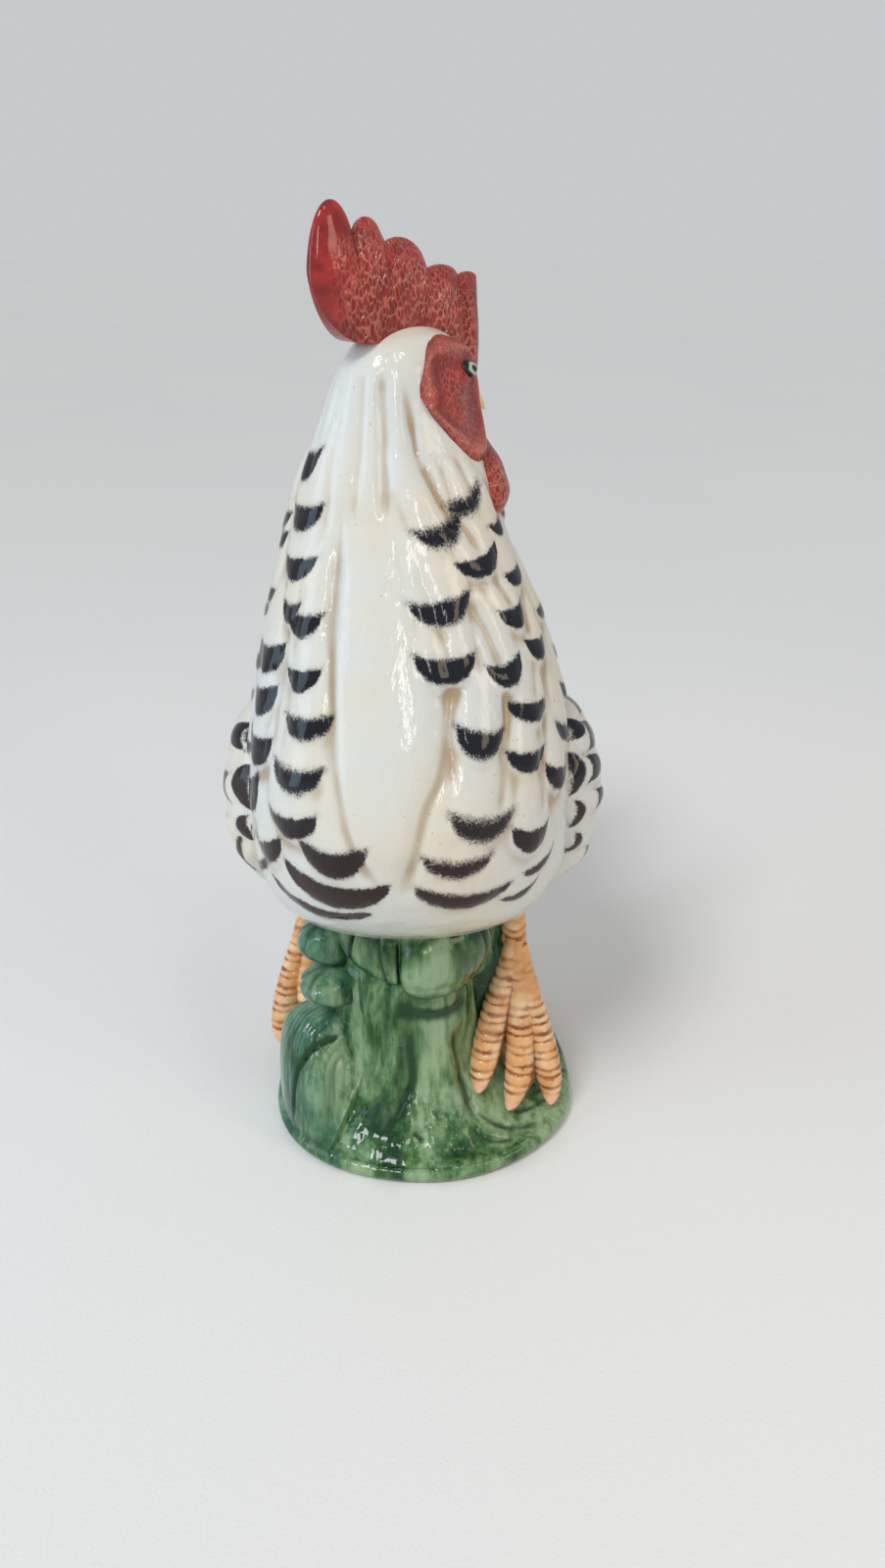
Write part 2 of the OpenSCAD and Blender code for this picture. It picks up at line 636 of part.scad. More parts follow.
// Arched feather laid on one side of the tail core, thickest along its quill
module arched_feather(side, y_shares, z_shares, w_shares) {
    rows_n = 16;
    across_n = 4;
    function mid(s) = [tail_y(along(y_shares, s)), tail_z(along(z_shares, s))];
    function spot(s, v, off) =
        let (c = mid(s),
             d = heading(mid(max(s - 0.03, 0)), mid(min(s + 0.03, 1))),
             half = sickle_half_w * along(w_shares, s),
             y = c[0] - half * v * d[1],
             z = c[1] + half * v * d[0])
        [body_x + side * (tail_half_t(z) + slip_gap + off), y, z];
    function ring(s) = concat(
        [for (v = steps(across_n)) spot(s, 2 * v - 1, sickle_t * (1 - s / 3) * sqrt(dome(v)))],
        [for (i = [1:across_n - 1]) spot(s, 1 - 2 * i / across_n, 0)]);
    loft([for (s = steps(rows_n)) ring(s)], spot(0, 0, sickle_t / 3), spot(1, 0, sickle_t / 3), side > 0);
}

module sickle_left() {
    color("linen") arched_feather(1, sickle_y_shares, sickle_z_shares, sickle_w_shares);
}

module sickle_right() {
    color("linen") arched_feather(-1, sickle_y_shares, sickle_z_shares, sickle_w_shares);
}

module covert_left() {
    color("ivory") arched_feather(1, covert_y_shares, covert_z_shares, covert_w_shares);
}

module covert_right() {
    color("ivory") arched_feather(-1, covert_y_shares, covert_z_shares, covert_w_shares);
}

// Comb with five rounded points, seated along the crown
module comb() {
    rows_n = 36;
    up_n = 5;
    function ahead(k) = comb_l * (k - comb_rear_share);
    function point_over(p, off) =
        abs(off) < 1 ? comb_base_share + (p[2] - comb_base_share) * sqrt(1 - off * off) : 0;
    function top_share(k) = max([for (p = comb_lobe_shares) point_over(p, (k - p[0]) / p[1])]);
    function heel(k) = comb_heel_h_share * pow(max(1 - k / comb_heel_share, 0), 1.6);
    function drop(k) = mix(comb_drop_share, comb_brow_share, eased((k - comb_brow_start_share) * 6));
    function seat(k, side) = max(
        crown_over(min(ahead(k), head_half_l * comb_fore_share), side) + slip_gap,
        crown_z + comb_h * (heel(k) - drop(k)));
    function end_round(k) = sqrt(max(1 - pow(abs(2 * k - 1), 6), 0));
    function half_t(k, w) =
        comb_t / 2 * end_round(k) * (1 - comb_taper_share * w) * (w < 1 ? 1 : comb_ridge_share);
    function top(k) = max(crown_z + comb_h * top_share(k), seat(k, 0) + edge_r);
    function spot(k, w, side) =
        let (h = side * half_t(k, w), p = head_spot(ahead(k), h)) [p[0], p[1], mix(seat(k, h), top(k), w)];
    function ring(k) = concat(
        [spot(k, 0, 0)],
        [for (w = steps(up_n)) spot(k, w, 1)],
        [for (w = steps(up_n)) spot(k, 1 - w, -1)]);
    color("firebrick")
    loft([for (i = [1:rows_n - 1]) ring(i / rows_n)], spot(0, 0.5, 0), spot(1, 0.5, 0), true);
}

// Red face patch on one side of the head, with a raised rim round a hollow
module face(side) {
    rows_n = 13;
    across_n = 8;
    lay = function (at, u, off) head_at(side * mix(face_angles[0], face_angles[1], u), at, off);
    rise = function (u, v) face_rise(u, v);
    function z_at(share) = neck_z + head_h * share;
    rows = [for (i = [1:rows_n - 1])
        let (u = i / rows_n, low = z_at(along(face_low_shares, u)), high = z_at(along(face_high_shares, u)))
        pad_ring(lay, low, high, u, rise, across_n)];
    function end(u, i) = lay(z_at((face_low_shares[i] + face_high_shares[i]) / 2), u, slip_gap);
    loft(rows, end(0, 0), end(1, len(face_low_shares) - 1), side < 0);
}

module face_left() {
    color("crimson") face(1);
}

module face_right() {
    color("crimson") face(-1);
}

// Wattle that hangs from the lower face down the side of the neck
module wattle(side) {
    rows_n = 9;
    across_n = 5;
    mid_share = (wattle_low_share + wattle_high_share) / 2;
    half_share = (wattle_high_share - wattle_low_share) / 2;
    lay = function (at, u, off) head_at(side * mix(wattle_angles[0], wattle_angles[1], u), at, off);
    thick = function (u, v) wattle_t * sqrt(dome(v)) * pow(sin(180 * u), 0.6) * (1.15 - v / 2);
    function z_at(share) = neck_z + head_h * share;
    rows = [for (i = [1:rows_n - 1])
        let (u = i / rows_n, half = half_share * sqrt(sin(180 * u)))
        pad_ring(lay, z_at(mid_share - half), z_at(mid_share + half), u, thick, across_n)];
    loft(rows, lay(z_at(mid_share), 0, slip_gap), lay(z_at(mid_share), 1, slip_gap), side < 0);
}

module wattle_left() {
    color("firebrick") wattle(1);
}

module wattle_right() {
    color("firebrick") wattle(-1);
}

// Half of the beak, from a root on the front of the head to its point
module beak_half(shares) {
    around_n = 12;
    rows_n = 5;
    root_ahead = head_half_l * beak_root_share;
    root_angle = atan2(beak_half_w, root_ahead);
    mid_z = neck_z + head_h * shares[0];
    half_z = head_h * shares[1];
    reach = beak_l * shares[2];
    drop = head_h * shares[3];
    function root(k) = [for (j = [0:around_n - 1])
        let (t = 360 * j / around_n)
        head_at(root_angle * k * sin(t), mid_z + half_z * k * cos(t), slip_gap)];
    function ring(s) = [for (j = [0:around_n - 1])
        let (t = 360 * j / around_n,
             w = pow(1 - s, 0.75),
             p = head_spot(root_ahead + reach * s, -beak_half_w * w * sin(t)))
        [p[0], p[1], mid_z + half_z * w * cos(t) - drop * s * s]];
    tip = head_spot(root_ahead + reach, 0);
    loft(concat([root(0.5), root(1)], [for (i = [1:rows_n - 1]) ring(i / rows_n)]),
        head_at(0, mid_z, slip_gap), [tip[0], tip[1], mid_z - drop], true);
}

module beak_upper() {
    color("khaki") beak_half(beak_upper_shares);
}

module beak_lower() {
    color("khaki") beak_half(beak_lower_shares);
}

// Eye set on the face patch, a low dome with an almond outline
module eye(side) {
    around_n = 14;
    rise_shares = [[0.6, 0], [1, 0], [0.85, 0.6], [0.5, 0.95]];
    eye_z = neck_z + head_h * eye_z_share;
    centre = head_at(side * eye_angle, eye_z);
    reach = norm([centre[0] - head_x, centre[1] - head_y]);
    half_angle = atan2(eye_d / 2, reach);
    function spot(k, t, off) =
        let (turned = eye_angle + k * half_angle * cos(t),
             z = eye_z + k * eye_oval_share * eye_d / 2 * sin(t))
        head_at(side * turned, z, slip_gap + face_rise_at(turned, z) + slip_gap + off);
    function ring(shares) = [for (j = [0:around_n - 1])
        spot(shares[0], 360 * j / around_n, eye_t * shares[1])];
    loft([for (shares = rise_shares) ring(shares)], spot(0, 0, 0), spot(0, 0, eye_t), side < 0);
}

module eye_left() {
    color("honeydew") eye(1);
}

module eye_right() {
    color("honeydew") eye(-1);
}

// Legs: place of each, and the height at which its foot ends and its shank begins
function leg_x(side) = body_x + (side > 0 ? leg_spread : leg_in - leg_spread);
function leg_back(side) = leg_y + (side > 0 ? 0 : stride);
function foot_top(side) = ground_z(leg_x(side), leg_back(side)) + foot_h;

module shank(side) {
    rows_n = 6;
    around_n = 16;
    x = leg_x(side);
    top_x = x - side * shank_top_r * 0.3;
    top_y = leg_back(side) + shank_top_r * 0.6;
    peak = belly_under(top_x, top_y) - slip_gap;
    function top_ring(k) = [for (j = [0:around_n - 1])
        let (t = 360 * j / around_n,
             px = top_x + k * shank_top_r * cos(t),
             py = top_y + k * shank_top_r * sin(t))
        [px, py, belly_under(px, py) - slip_gap]];
    function ring(s) = [for (j = [0:around_n - 1])
        let (t = 360 * j / around_n,
             r = mix(shank_top_r, shank_foot_r, pow(1 - s, 1.8)),
             cx = mix(x, top_x, s),
             cy = mix(leg_back(side), top_y, s))
        [cx + r * cos(t), cy + r * sin(t), mix(foot_top(side), peak - 2 * shank_top_r, s)]];
    loft(concat([for (s = steps(rows_n)) ring(s)], [top_ring(1), top_ring(0.5)]),
        [x, leg_back(side), foot_top(side)], [top_x, top_y, peak]);
}

module shank_left() {
    color("sandybrown") shank(1);
}

module shank_right() {
    color("sandybrown") shank(-1);
}

// Foot with three toes in front and one behind, spread over the ground
module foot(side) {
    ball_r = shank_foot_r * ball_share;
    cx = leg_x(side);
    cy = leg_back(side);
    turn = side > 0 ? 0 : right_foot_turn;
    function toe_len(i) = toe_l * toe_shares[i];
    function web_spot(i, j) =
        let (a = (toe_angles[i] + toe_angles[j]) / 2,
             half = (toe_angles[j] - toe_angles[i]) / 2,
             r = min(toe_half_w / tan(half), web_share * min(toe_len(i), toe_len(j))))
        [r * cos(a), r * sin(a)];
    function toe_outline(i) =
        let (a = toe_angles[i])
        [for (p = toe_end_shares)
            let (l = toe_len(i) * p[0], w = toe_half_w * p[1])
            [l * cos(a) - w * sin(a), l * sin(a) + w * cos(a)]];
    function ball_outline(angles) = [for (a = angles) [ball_r * cos(a), ball_r * sin(a)]];
    outline = concat(
        toe_outline(0), [web_spot(0, 1)], toe_outline(1), [web_spot(1, 2)], toe_outline(2),
        ball_outline(ball_angles[0]), toe_outline(3), ball_outline(ball_angles[1]));
    function round_over(k) = sqrt(max(1 - k * k, 0));
    function toe_height(p, i) =
        let (a = toe_angles[i],
             fore = p[0] * cos(a) + p[1] * sin(a),
             across = -p[0] * sin(a) + p[1] * cos(a),
             k = held(fore / toe_len(i)),
             crest = mix(foot_h * knuckle_share, toe_tip_h, pow(k, 0.75)))
        fore < 0 ? 0 : crest * round_over(across / toe_half_w * 0.95) * round_over(pow(k, 5));
    function height(p) = max(concat(
        [for (i = [0:3]) toe_height(p, i)],
        [foot_h * round_over(norm(p) / ball_r * 0.98)]));
    function place(p, z) =
        [cx + side * (p[0] * cos(turn) - p[1] * sin(turn)), cy + p[0] * sin(turn) + p[1] * cos(turn), z];
    function on_ground(p, off) = let (q = place(p, 0)) [q[0], q[1], ground_z(q[0], q[1]) + slip_gap + off];
    function top_row(k) = [for (p = outline)
        let (q = mix(shank_foot_r * p / norm(p), p, k)) on_ground(q, height(q))];
    flat_row = [for (p = outline) place(shank_foot_r * p / norm(p), foot_top(side))];
    seat_rows = [for (k = foot_seat_shares) [for (p = outline) on_ground(k * p, 0)]];
    loft(concat(seat_rows, [for (k = foot_top_shares) top_row(k)], [flat_row]),
        on_ground([0, 0], 0), place([0, 0], foot_top(side)), side < 0);
}

module foot_left() {
    color("sandybrown") foot(1);
}

module foot_right() {
    color("sandybrown") foot(-1);
}

ground_mound();
tree_stump();
burl();
leaf_front();
leaf_right();
knot_left();
branch_stub();
grass_tuft();
body_shell();
head_neck();
wing_left();
wing_right();
tail_core();
sickle_left();
sickle_right();
covert_left();
covert_right();
comb();
face_left();
face_right();
wattle_left();
wattle_right();
beak_upper();
beak_lower();
eye_left();
eye_right();
shank_left();
shank_right();
foot_left();
foot_right();
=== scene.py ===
# Glazed rooster figurine on a green stump, hand painted with black feather tips
import math
import bpy
import numpy as np
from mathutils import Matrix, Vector


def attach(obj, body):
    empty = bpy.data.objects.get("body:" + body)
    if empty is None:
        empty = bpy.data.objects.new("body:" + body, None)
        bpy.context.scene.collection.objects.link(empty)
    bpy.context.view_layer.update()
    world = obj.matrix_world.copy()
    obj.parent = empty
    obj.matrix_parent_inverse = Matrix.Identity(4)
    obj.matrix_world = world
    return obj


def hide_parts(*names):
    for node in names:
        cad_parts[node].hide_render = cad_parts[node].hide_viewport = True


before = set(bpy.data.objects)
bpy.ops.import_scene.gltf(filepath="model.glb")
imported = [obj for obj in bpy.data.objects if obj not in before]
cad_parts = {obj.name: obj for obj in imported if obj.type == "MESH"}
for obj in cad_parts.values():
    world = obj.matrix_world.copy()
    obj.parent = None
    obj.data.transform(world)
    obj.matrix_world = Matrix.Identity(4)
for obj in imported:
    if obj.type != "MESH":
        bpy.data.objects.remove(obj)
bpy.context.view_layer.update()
scene = bpy.context.scene
scene.view_settings.view_transform = "Standard"
mm = 0.001
print("frame loaded:", len(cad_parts), "nodes")


# Camera, lamps and floor

studio = dict(
    cameraAt=(0.008, -0.358, 0.320), pitch=27, lens=27.07, sensor=36, nearest=0.01,
    floorRadius=6, floorSides=96, floorTint=(0.80, 0.80, 0.79), floorPale=(0.82, 0.82, 0.80),
    worldTint=(0.95, 0.97, 1.0), worldLevel=0.37, backLevel=0.60,
)
daylight = dict(aim=(0.42, 0.62, -1.0), strength=1.38, angle=18, tint=(0.97, 0.98, 1.0))
lamps = [  # name, place, aims at, size, watts, tint
    ("windowLeft", (-0.85, -0.25, 0.38), (0, 0, 0.17), (0.45, 0.8), 2.8, (0.62, 0.80, 1.0)),
    ("roomRight", (0.80, -0.50, 0.60), (0, 0, 0.17), (0.3, 0.5), 1.9, (1.0, 0.80, 0.60)),
    ("doorway", (0.04, -1.05, 0.62), (0, 0, 0.19), (0.10, 0.40), 1.3, (1.0, 0.98, 0.92)),
    ("ceiling", (0.30, -0.55, 1.30), (0, 0, 0.15), (0.16, 0.16), 0.9, (1.0, 0.98, 0.94)),
]


def addCamera():
    data = bpy.data.cameras.new("camera")
    data.lens = studio["lens"]
    data.sensor_width = studio["sensor"]
    data.clip_start = studio["nearest"]
    camera = bpy.data.objects.new("camera", data)
    camera.location = studio["cameraAt"]
    camera.rotation_euler = (math.radians(90 - studio["pitch"]), 0, 0)
    scene.collection.objects.link(camera)
    scene.camera = camera


def addLight(name, kind, place, aim, energy, tint):
    data = bpy.data.lights.new(name, kind)
    data.energy = energy
    data.color = tint
    light = bpy.data.objects.new(name, data)
    light.location = place
    light.rotation_mode = "QUATERNION"
    light.rotation_quaternion = aim.to_track_quat("-Z", "Y")
    scene.collection.objects.link(light)
    return data


def addLamps():
    aim = Vector(daylight["aim"])
    sun = addLight("daylight", "SUN", (0, 0, 0), aim, daylight["strength"], daylight["tint"])
    sun.angle = math.radians(daylight["angle"])
    for name, place, target, size, watts, tint in lamps:
        lamp = addLight(name, "AREA", place, Vector(target) - Vector(place), watts, tint)
        lamp.shape = "RECTANGLE"
        lamp.size, lamp.size_y = size


addCamera()
addLamps()
print("camera and lamps placed")


# Small helpers that take whole arrays

def blend(a, b, k):
    return a + (b - a) * k


def eased(k):
    k = np.clip(k, 0, 1)
    return k * k * (3 - 2 * k)


def dome(v):
    return np.maximum(4 * v * (1 - v), 0)


# Bell curve: one at zero, a third at its width
def bell(v, wide):
    return np.exp(-(v / wide) ** 2)


# Even steps as one column, and a full turn in even steps as one row
def column(low, high, count):
    return np.linspace(low, high, count)[:, None]


def fullTurn(count, start=0.0):
    return np.linspace(start, start + 2 * np.pi, count, endpoint=False)[None, :]


# Shares along and across a pad: one column and one row
def span(low, high, rows, cols):
    return column(low, high, rows), np.linspace(0, 1, cols)[None, :]


# Points at a distance and a direction from a middle, at their heights
def around(x, y, r, angle, z):
    return np.stack([x + r * np.cos(angle), y + r * np.sin(angle), z + 0 * r], -1)


def signed(v, power):
    return np.sign(v) * np.abs(v) ** power


def unit(v):
    return v / np.maximum(np.linalg.norm(v, axis=-1, keepdims=True), 1e-9)


# Height at which each point's test turns false, found by halving the range
def turningHeight(low, high, below, passes):
    for _ in range(passes):
        mid = (low + high) / 2
        under = below(mid)
        low, high = np.where(under, mid, low), np.where(under, high, mid)
    return (low + high) / 2


# Smooth curve through evenly spaced values: a cubic per stretch whose end slopes are half the step across
def along(values, s):
    values = np.asarray(values, float)
    n = len(values) - 1
    i = np.clip(np.floor(np.asarray(s, float) * n).astype(int), 0, n - 1)
    k = s * n - i
    a, b = values[np.maximum(i - 1, 0)], values[i]
    c, d = values[i + 1], values[np.minimum(i + 2, n)]
    if values.ndim > 1:
        k = np.asarray(k)[..., None]
    return b + 0.5 * k * (c - a + k * (2 * a - 5 * b + 4 * c - d + k * (3 * (b - c) + d - a)))


# Oval whose radius solves (cos/side)^p + (sin/depth)^p = 1/r^p, with its own depth in front and behind
def ovalRadius(angle, side, front, back, power=2.0):
    depth = np.where(np.sin(angle) < 0, front, back)
    across = (np.abs(np.cos(angle)) / side) ** power
    return (across + (np.abs(np.sin(angle)) / depth) ** power) ** (-1 / power)


# Each point becomes the mean of itself and its neighbours, some times over; the columns run round
def blurred(values, times):
    for _ in range(times):
        rows = np.pad(values, ((1, 1), (0, 0)), mode="edge")
        values = (rows[:-2] + 2 * values + rows[2:]) / 4
        values = (np.roll(values, 1, 1) + 2 * values + np.roll(values, -1, 1)) / 4
    return values


# Normals of a grid: the cross of its steps along rows and columns, turned to point away from the middle line
def gridNormals(grid):
    across = np.roll(grid, -1, 1) - np.roll(grid, 1, 1)
    down = np.gradient(grid, axis=0)
    normals = unit(np.cross(across, down))
    outward = grid - grid.mean(1, keepdims=True)
    return normals * np.where((normals * outward).sum(-1).mean() < 0, -1, 1)


# Faces of a closed grid: quads between the rows, a fan to the mean point at each end, turned to face outwards
def closedFaces(grid):
    rows, cols = grid.shape[:2]
    count = rows * cols
    points = np.vstack([grid.reshape(-1, 3), grid[0].mean(0), grid[-1].mean(0)]) * mm
    i, j = np.meshgrid(np.arange(rows - 1), np.arange(cols), indexing="ij")
    a, b = i * cols + j, i * cols + (j + 1) % cols
    quads = np.stack([a, b, b + cols, a + cols], -1).reshape(-1, 4)
    k = np.arange(cols)
    near = (k + 1) % cols
    last = count - cols
    lowFan = np.stack([np.full(cols, count), near, k], -1)
    highFan = np.stack([np.full(cols, count + 1), k + last, near + last], -1)
    fans = np.vstack([lowFan, highFan])
    corners, ends = points[quads], points[fans]
    volume = (np.cross(corners[:, 0], corners[:, 1]) * corners[:, 2]).sum()
    volume += (np.cross(corners[:, 0], corners[:, 2]) * corners[:, 3]).sum()
    volume += (np.cross(ends[:, 0], ends[:, 1]) * ends[:, 2]).sum()
    return (points, quads, fans) if volume > 0 else (points, quads[:, ::-1], fans[:, ::-1])


# Mesh of one closed grid or of several side by side, with the fields painted on their points; edges that bend
# by more than the crease in degrees are drawn sharp; of a finish, only its material is used, not its slot
# name
def skin(name, grids, finish, replaces, fields=None, crease=None):
    grids = grids if isinstance(grids, list) else [grids]
    points, quads, fans, count = [], [], [], 0
    for grid in grids:
        p, q, f = closedFaces(grid)
        points.append(p)
        quads.append(q + count)
        fans.append(f + count)
        count += len(p)
    points, quads, fans = np.vstack(points), np.vstack(quads), np.vstack(fans)
    mesh = bpy.data.meshes.new(name)
    loops = np.concatenate([quads.ravel(), fans.ravel()]).astype(np.int32)
    starts = np.concatenate([np.arange(len(quads)) * 4, len(quads) * 4 + np.arange(len(fans)) * 3])
    mesh.vertices.add(len(points))
    mesh.loops.add(len(loops))
    mesh.polygons.add(len(starts))
    mesh.vertices.foreach_set("co", points.ravel())
    mesh.loops.foreach_set("vertex_index", loops)
    mesh.polygons.foreach_set("loop_start", starts.astype(np.int32))
    mesh.update(calc_edges=True)
    mesh.validate()
    mesh.polygons.foreach_set("use_smooth", np.ones(len(mesh.polygons), bool))
    if crease:
        mesh.set_sharp_from_angle(angle=math.radians(crease))
    for key, values in (fields or {}).items():
        values = values if isinstance(values, list) else [values]
        full = np.concatenate([np.concatenate([v.ravel(), [v[0].mean(), v[-1].mean()]]) for v in values])
        mesh.attributes.new(key, "FLOAT", "POINT").data.foreach_set("value", full.astype(np.float32))
    mesh.materials.append(finish[0])
    piece = bpy.data.objects.new(name, mesh)
    scene.collection.objects.link(piece)
    if replaces:
        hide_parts(*replaces)
    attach(piece, "root")
    return piece


# Glazes, all read from object coordinates in metres and from the fields painted on the points

glazes = dict(
    ivory=(0.69, 0.645, 0.53), ivoryCool=(0.64, 0.655, 0.63), pooled=(0.34, 0.23, 0.115),
    inkHigh=(0.006, 0.007, 0.012), inkLow=(0.024, 0.009, 0.006), inkHaze=(0.16, 0.13, 0.12),
    inkStreak=(0.12, 0.11, 0.10),
    red=(0.38, 0.027, 0.022), redPale=(0.66, 0.20, 0.135), redDark=(0.19, 0.010, 0.011),
    green=(0.058, 0.150, 0.046), greenPale=(0.31, 0.43, 0.25), greenDark=(0.007, 0.040, 0.012),
    teal=(0.065, 0.195, 0.170),
    tan=(0.72, 0.36, 0.14), tanPale=(0.84, 0.58, 0.34), claw=(0.78, 0.46, 0.30),
    brown=(0.25, 0.070, 0.016), brownDark=(0.07, 0.020, 0.006),
    beak=(0.74, 0.58, 0.24), beakPale=(0.82, 0.70, 0.42),
    iris=(0.42, 0.48, 0.38), pupil=(0.008, 0.010, 0.010),
)


class Glaze:
    # A material and its node tree, with one short call for each kind of node
    def __init__(self, name, roughness=0.08, specular=0.34):
        self.material = bpy.data.materials.new(name)
        self.material.use_nodes = True
        self.tree = self.material.node_tree
        self.shader = self.tree.nodes["Principled BSDF"]
        self.shader.inputs["Roughness"].default_value = roughness
        self.shader.inputs["Specular IOR Level"].default_value = specular
        self.coords = self.tree.nodes.new("ShaderNodeTexCoord").outputs["Object"]

    def put(self, socket, value):
        if isinstance(value, bpy.types.NodeSocket):
            self.tree.links.new(value, socket)
        elif isinstance(value, tuple) and len(value) == 3 and socket.type == "RGBA":
            socket.default_value = (*value, 1)
        else:
            socket.default_value = value

    def node(self, kind, out=0, settings=None, **inputs):
        made = self.tree.nodes.new("ShaderNode" + kind)
        for key, value in (settings or {}).items():
            setattr(made, key, value)
        for key, value in inputs.items():
            self.put(made.inputs[int(key[1:]) if key[1:].isdigit() else key.replace("_", " ")], value)
        return made.outputs[out]

    def field(self, name):
        return self.node("Attribute", 2, dict(attribute_name=name))

    def stretched(self, scale, turn=(0, 0, 0), vector=None):
        turn = tuple(math.radians(t) for t in turn)
        return self.node("Mapping", Vector=vector or self.coords, Scale=scale, Rotation=turn)

    def noise(self, scale, detail=2.0, vector=None, rough=0.5, twist=0.0, out=0):
        return self.node("TexNoise", out, Vector=vector or self.coords, Scale=scale, Detail=detail,
                         Roughness=rough, Distortion=twist)

    def maths(self, kind, a, b=0.0, c=0.0):
        return self.node("Math", settings=dict(operation=kind), i0=a, i1=b, i2=c)

    def times(self, a, b):
        return self.maths("MULTIPLY", a, b)

    def ramp(self, value, low, high, toLow=0.0, toHigh=1.0):
        return self.node("MapRange", settings=dict(interpolation_type="SMOOTHSTEP"), Value=value,
                         From_Min=low, From_Max=high, To_Min=toLow, To_Max=toHigh)

    def mix(self, factor, a, b):
        made = self.tree.nodes.new("ShaderNodeMix")
        made.data_type = "RGBA"
        self.put(made.inputs[0], factor)
        self.put(made.inputs[6], a)
        self.put(made.inputs[7], b)
        return made.outputs[2]

    def bump(self, height, depth, before=None):
        made = self.tree.nodes.new("ShaderNodeBump")
        made.inputs["Distance"].default_value = depth
        self.put(made.inputs["Height"], height)
        if before is not None:
            self.put(made.inputs["Normal"], before)
        return made.outputs[0]

    def done(self, color, normal=None):
        self.put(self.shader.inputs["Base Color"], color)
        if normal is not None:
            self.put(self.shader.inputs["Normal"], normal)
        return self.material


# White glaze: ivory with slow noise, tan where it pools, ink where the mark field plus speckle is above zero
def whiteGlaze():
    g = Glaze("whiteGlaze")
    base = g.mix(g.ramp(g.noise(18, 2), 0.35, 0.65), glazes["ivory"], glazes["ivoryCool"])
    stain = g.ramp(g.field("poolAndShade"), 0.04, 0.9)
    base = g.mix(g.times(stain, g.ramp(g.noise(60, 2), 0.25, 0.6, 0.45, 0.85)), base, glazes["pooled"])
    dust = g.ramp(g.noise(620, 1), 0.755, 0.775)
    base = g.mix(g.times(dust, 0.35), base, glazes["brown"])
    soft = g.field("soft")
    wobble = g.times(g.maths("SUBTRACT", g.noise(300, 4, rough=0.65), 0.5), 2.6)
    grains = g.maths("SUBTRACT", g.noise(1500, 2, rough=0.8), 0.5)
    speckle = g.times(grains, g.maths("MULTIPLY_ADD", soft, 6.0, 0.9))
    edge = g.maths("ADD", g.maths("ADD", g.field("mark"), wobble), speckle)
    ink = g.ramp(edge, g.maths("MULTIPLY_ADD", soft, -1.5, -0.30), g.maths("MULTIPLY_ADD", soft, 0.9, 0.22))
    haze = g.ramp(g.maths("ADD", g.field("mark"), g.times(wobble, 0.6)), -2.6, 0.4, 0.0, 0.30)
    base = g.mix(g.times(haze, g.ramp(soft, 0.1, 0.8, 0.45, 1.0)), base, glazes["inkHaze"])
    height = g.node("SeparateXYZ", 2, Vector=g.coords)
    inkTint = g.mix(g.ramp(height, 0.125, 0.165), glazes["inkLow"], glazes["inkHigh"])
    streak = g.ramp(g.noise(1.0, 3, g.stretched((900, 900, 90))), 0.62, 0.8)
    inkTint = g.mix(g.times(streak, 0.06), inkTint, glazes["inkStreak"])
    waves = g.bump(g.noise(55, 2), 0.0009)
    waves = g.bump(g.noise(1.0, 2, g.stretched((420, 420, 40))), 0.00022, waves)
    return g.done(g.mix(ink, base, inkTint), waves)


# Red glaze: dark cells inside a paler network of stretched Voronoi edges, plain where the smooth field is
# high, paler with a painted highlight on the cheeks' rolled rims, darker with painted shade at the comb's
# foot and in and round the cheeks, and darker along the wattles' folds
def redGlaze():
    g = Glaze("redGlaze", roughness=0.08, specular=0.42)
    wavy = g.noise(160, 2)
    shifted = g.tree.nodes.new("ShaderNodeVectorMath")
    shifted.operation = "MULTIPLY_ADD"
    g.put(shifted.inputs[0], g.noise(260.0, 1.0, out=1))
    shifted.inputs[1].default_value = (0.0012, 0.0012, 0.0012)
    g.put(shifted.inputs[2], g.coords)
    net = g.stretched((880, 880, 350), (0, 22, 0), shifted.outputs[0])
    rim = g.node("TexVoronoi", 0, dict(feature="DISTANCE_TO_EDGE"), Vector=net, Scale=1.0)
    tone = g.node("TexVoronoi", 1, dict(feature="F1"), Vector=net, Scale=1.0)
    shade = g.node("SeparateXYZ", 0, Vector=tone)
    plain = g.field("smooth")
    line = g.times(g.ramp(rim, 0.22, 0.02), g.maths("SUBTRACT", 1.0, plain))
    base = g.mix(g.ramp(wavy, 0.3, 0.7), glazes["red"], glazes["redDark"])
    base = g.mix(g.times(g.times(shade, 0.24), g.maths("SUBTRACT", 1.0, plain)), base, glazes["redDark"])
    base = g.mix(g.times(line, g.ramp(g.noise(70, 2), 0.3, 0.62, 0.28, 0.80)), base, glazes["redPale"])
    # Painted highlight: the cheeks' rolled rims, the only place where this field is set, are drawn paler
    base = g.mix(g.times(g.field("wearAndHighlight"), 0.38), base, glazes["redPale"])
    # Painted shade at the comb's foot and in the cheeks' hollows and borders; the wattles darken along their
    # folds
    base = g.mix(g.times(g.field("poolAndShade"), 0.6), base, glazes["redDark"])
    height = g.bump(line, 0.0004)
    return g.done(base, g.bump(g.noise(90, 2), 0.0006, height))
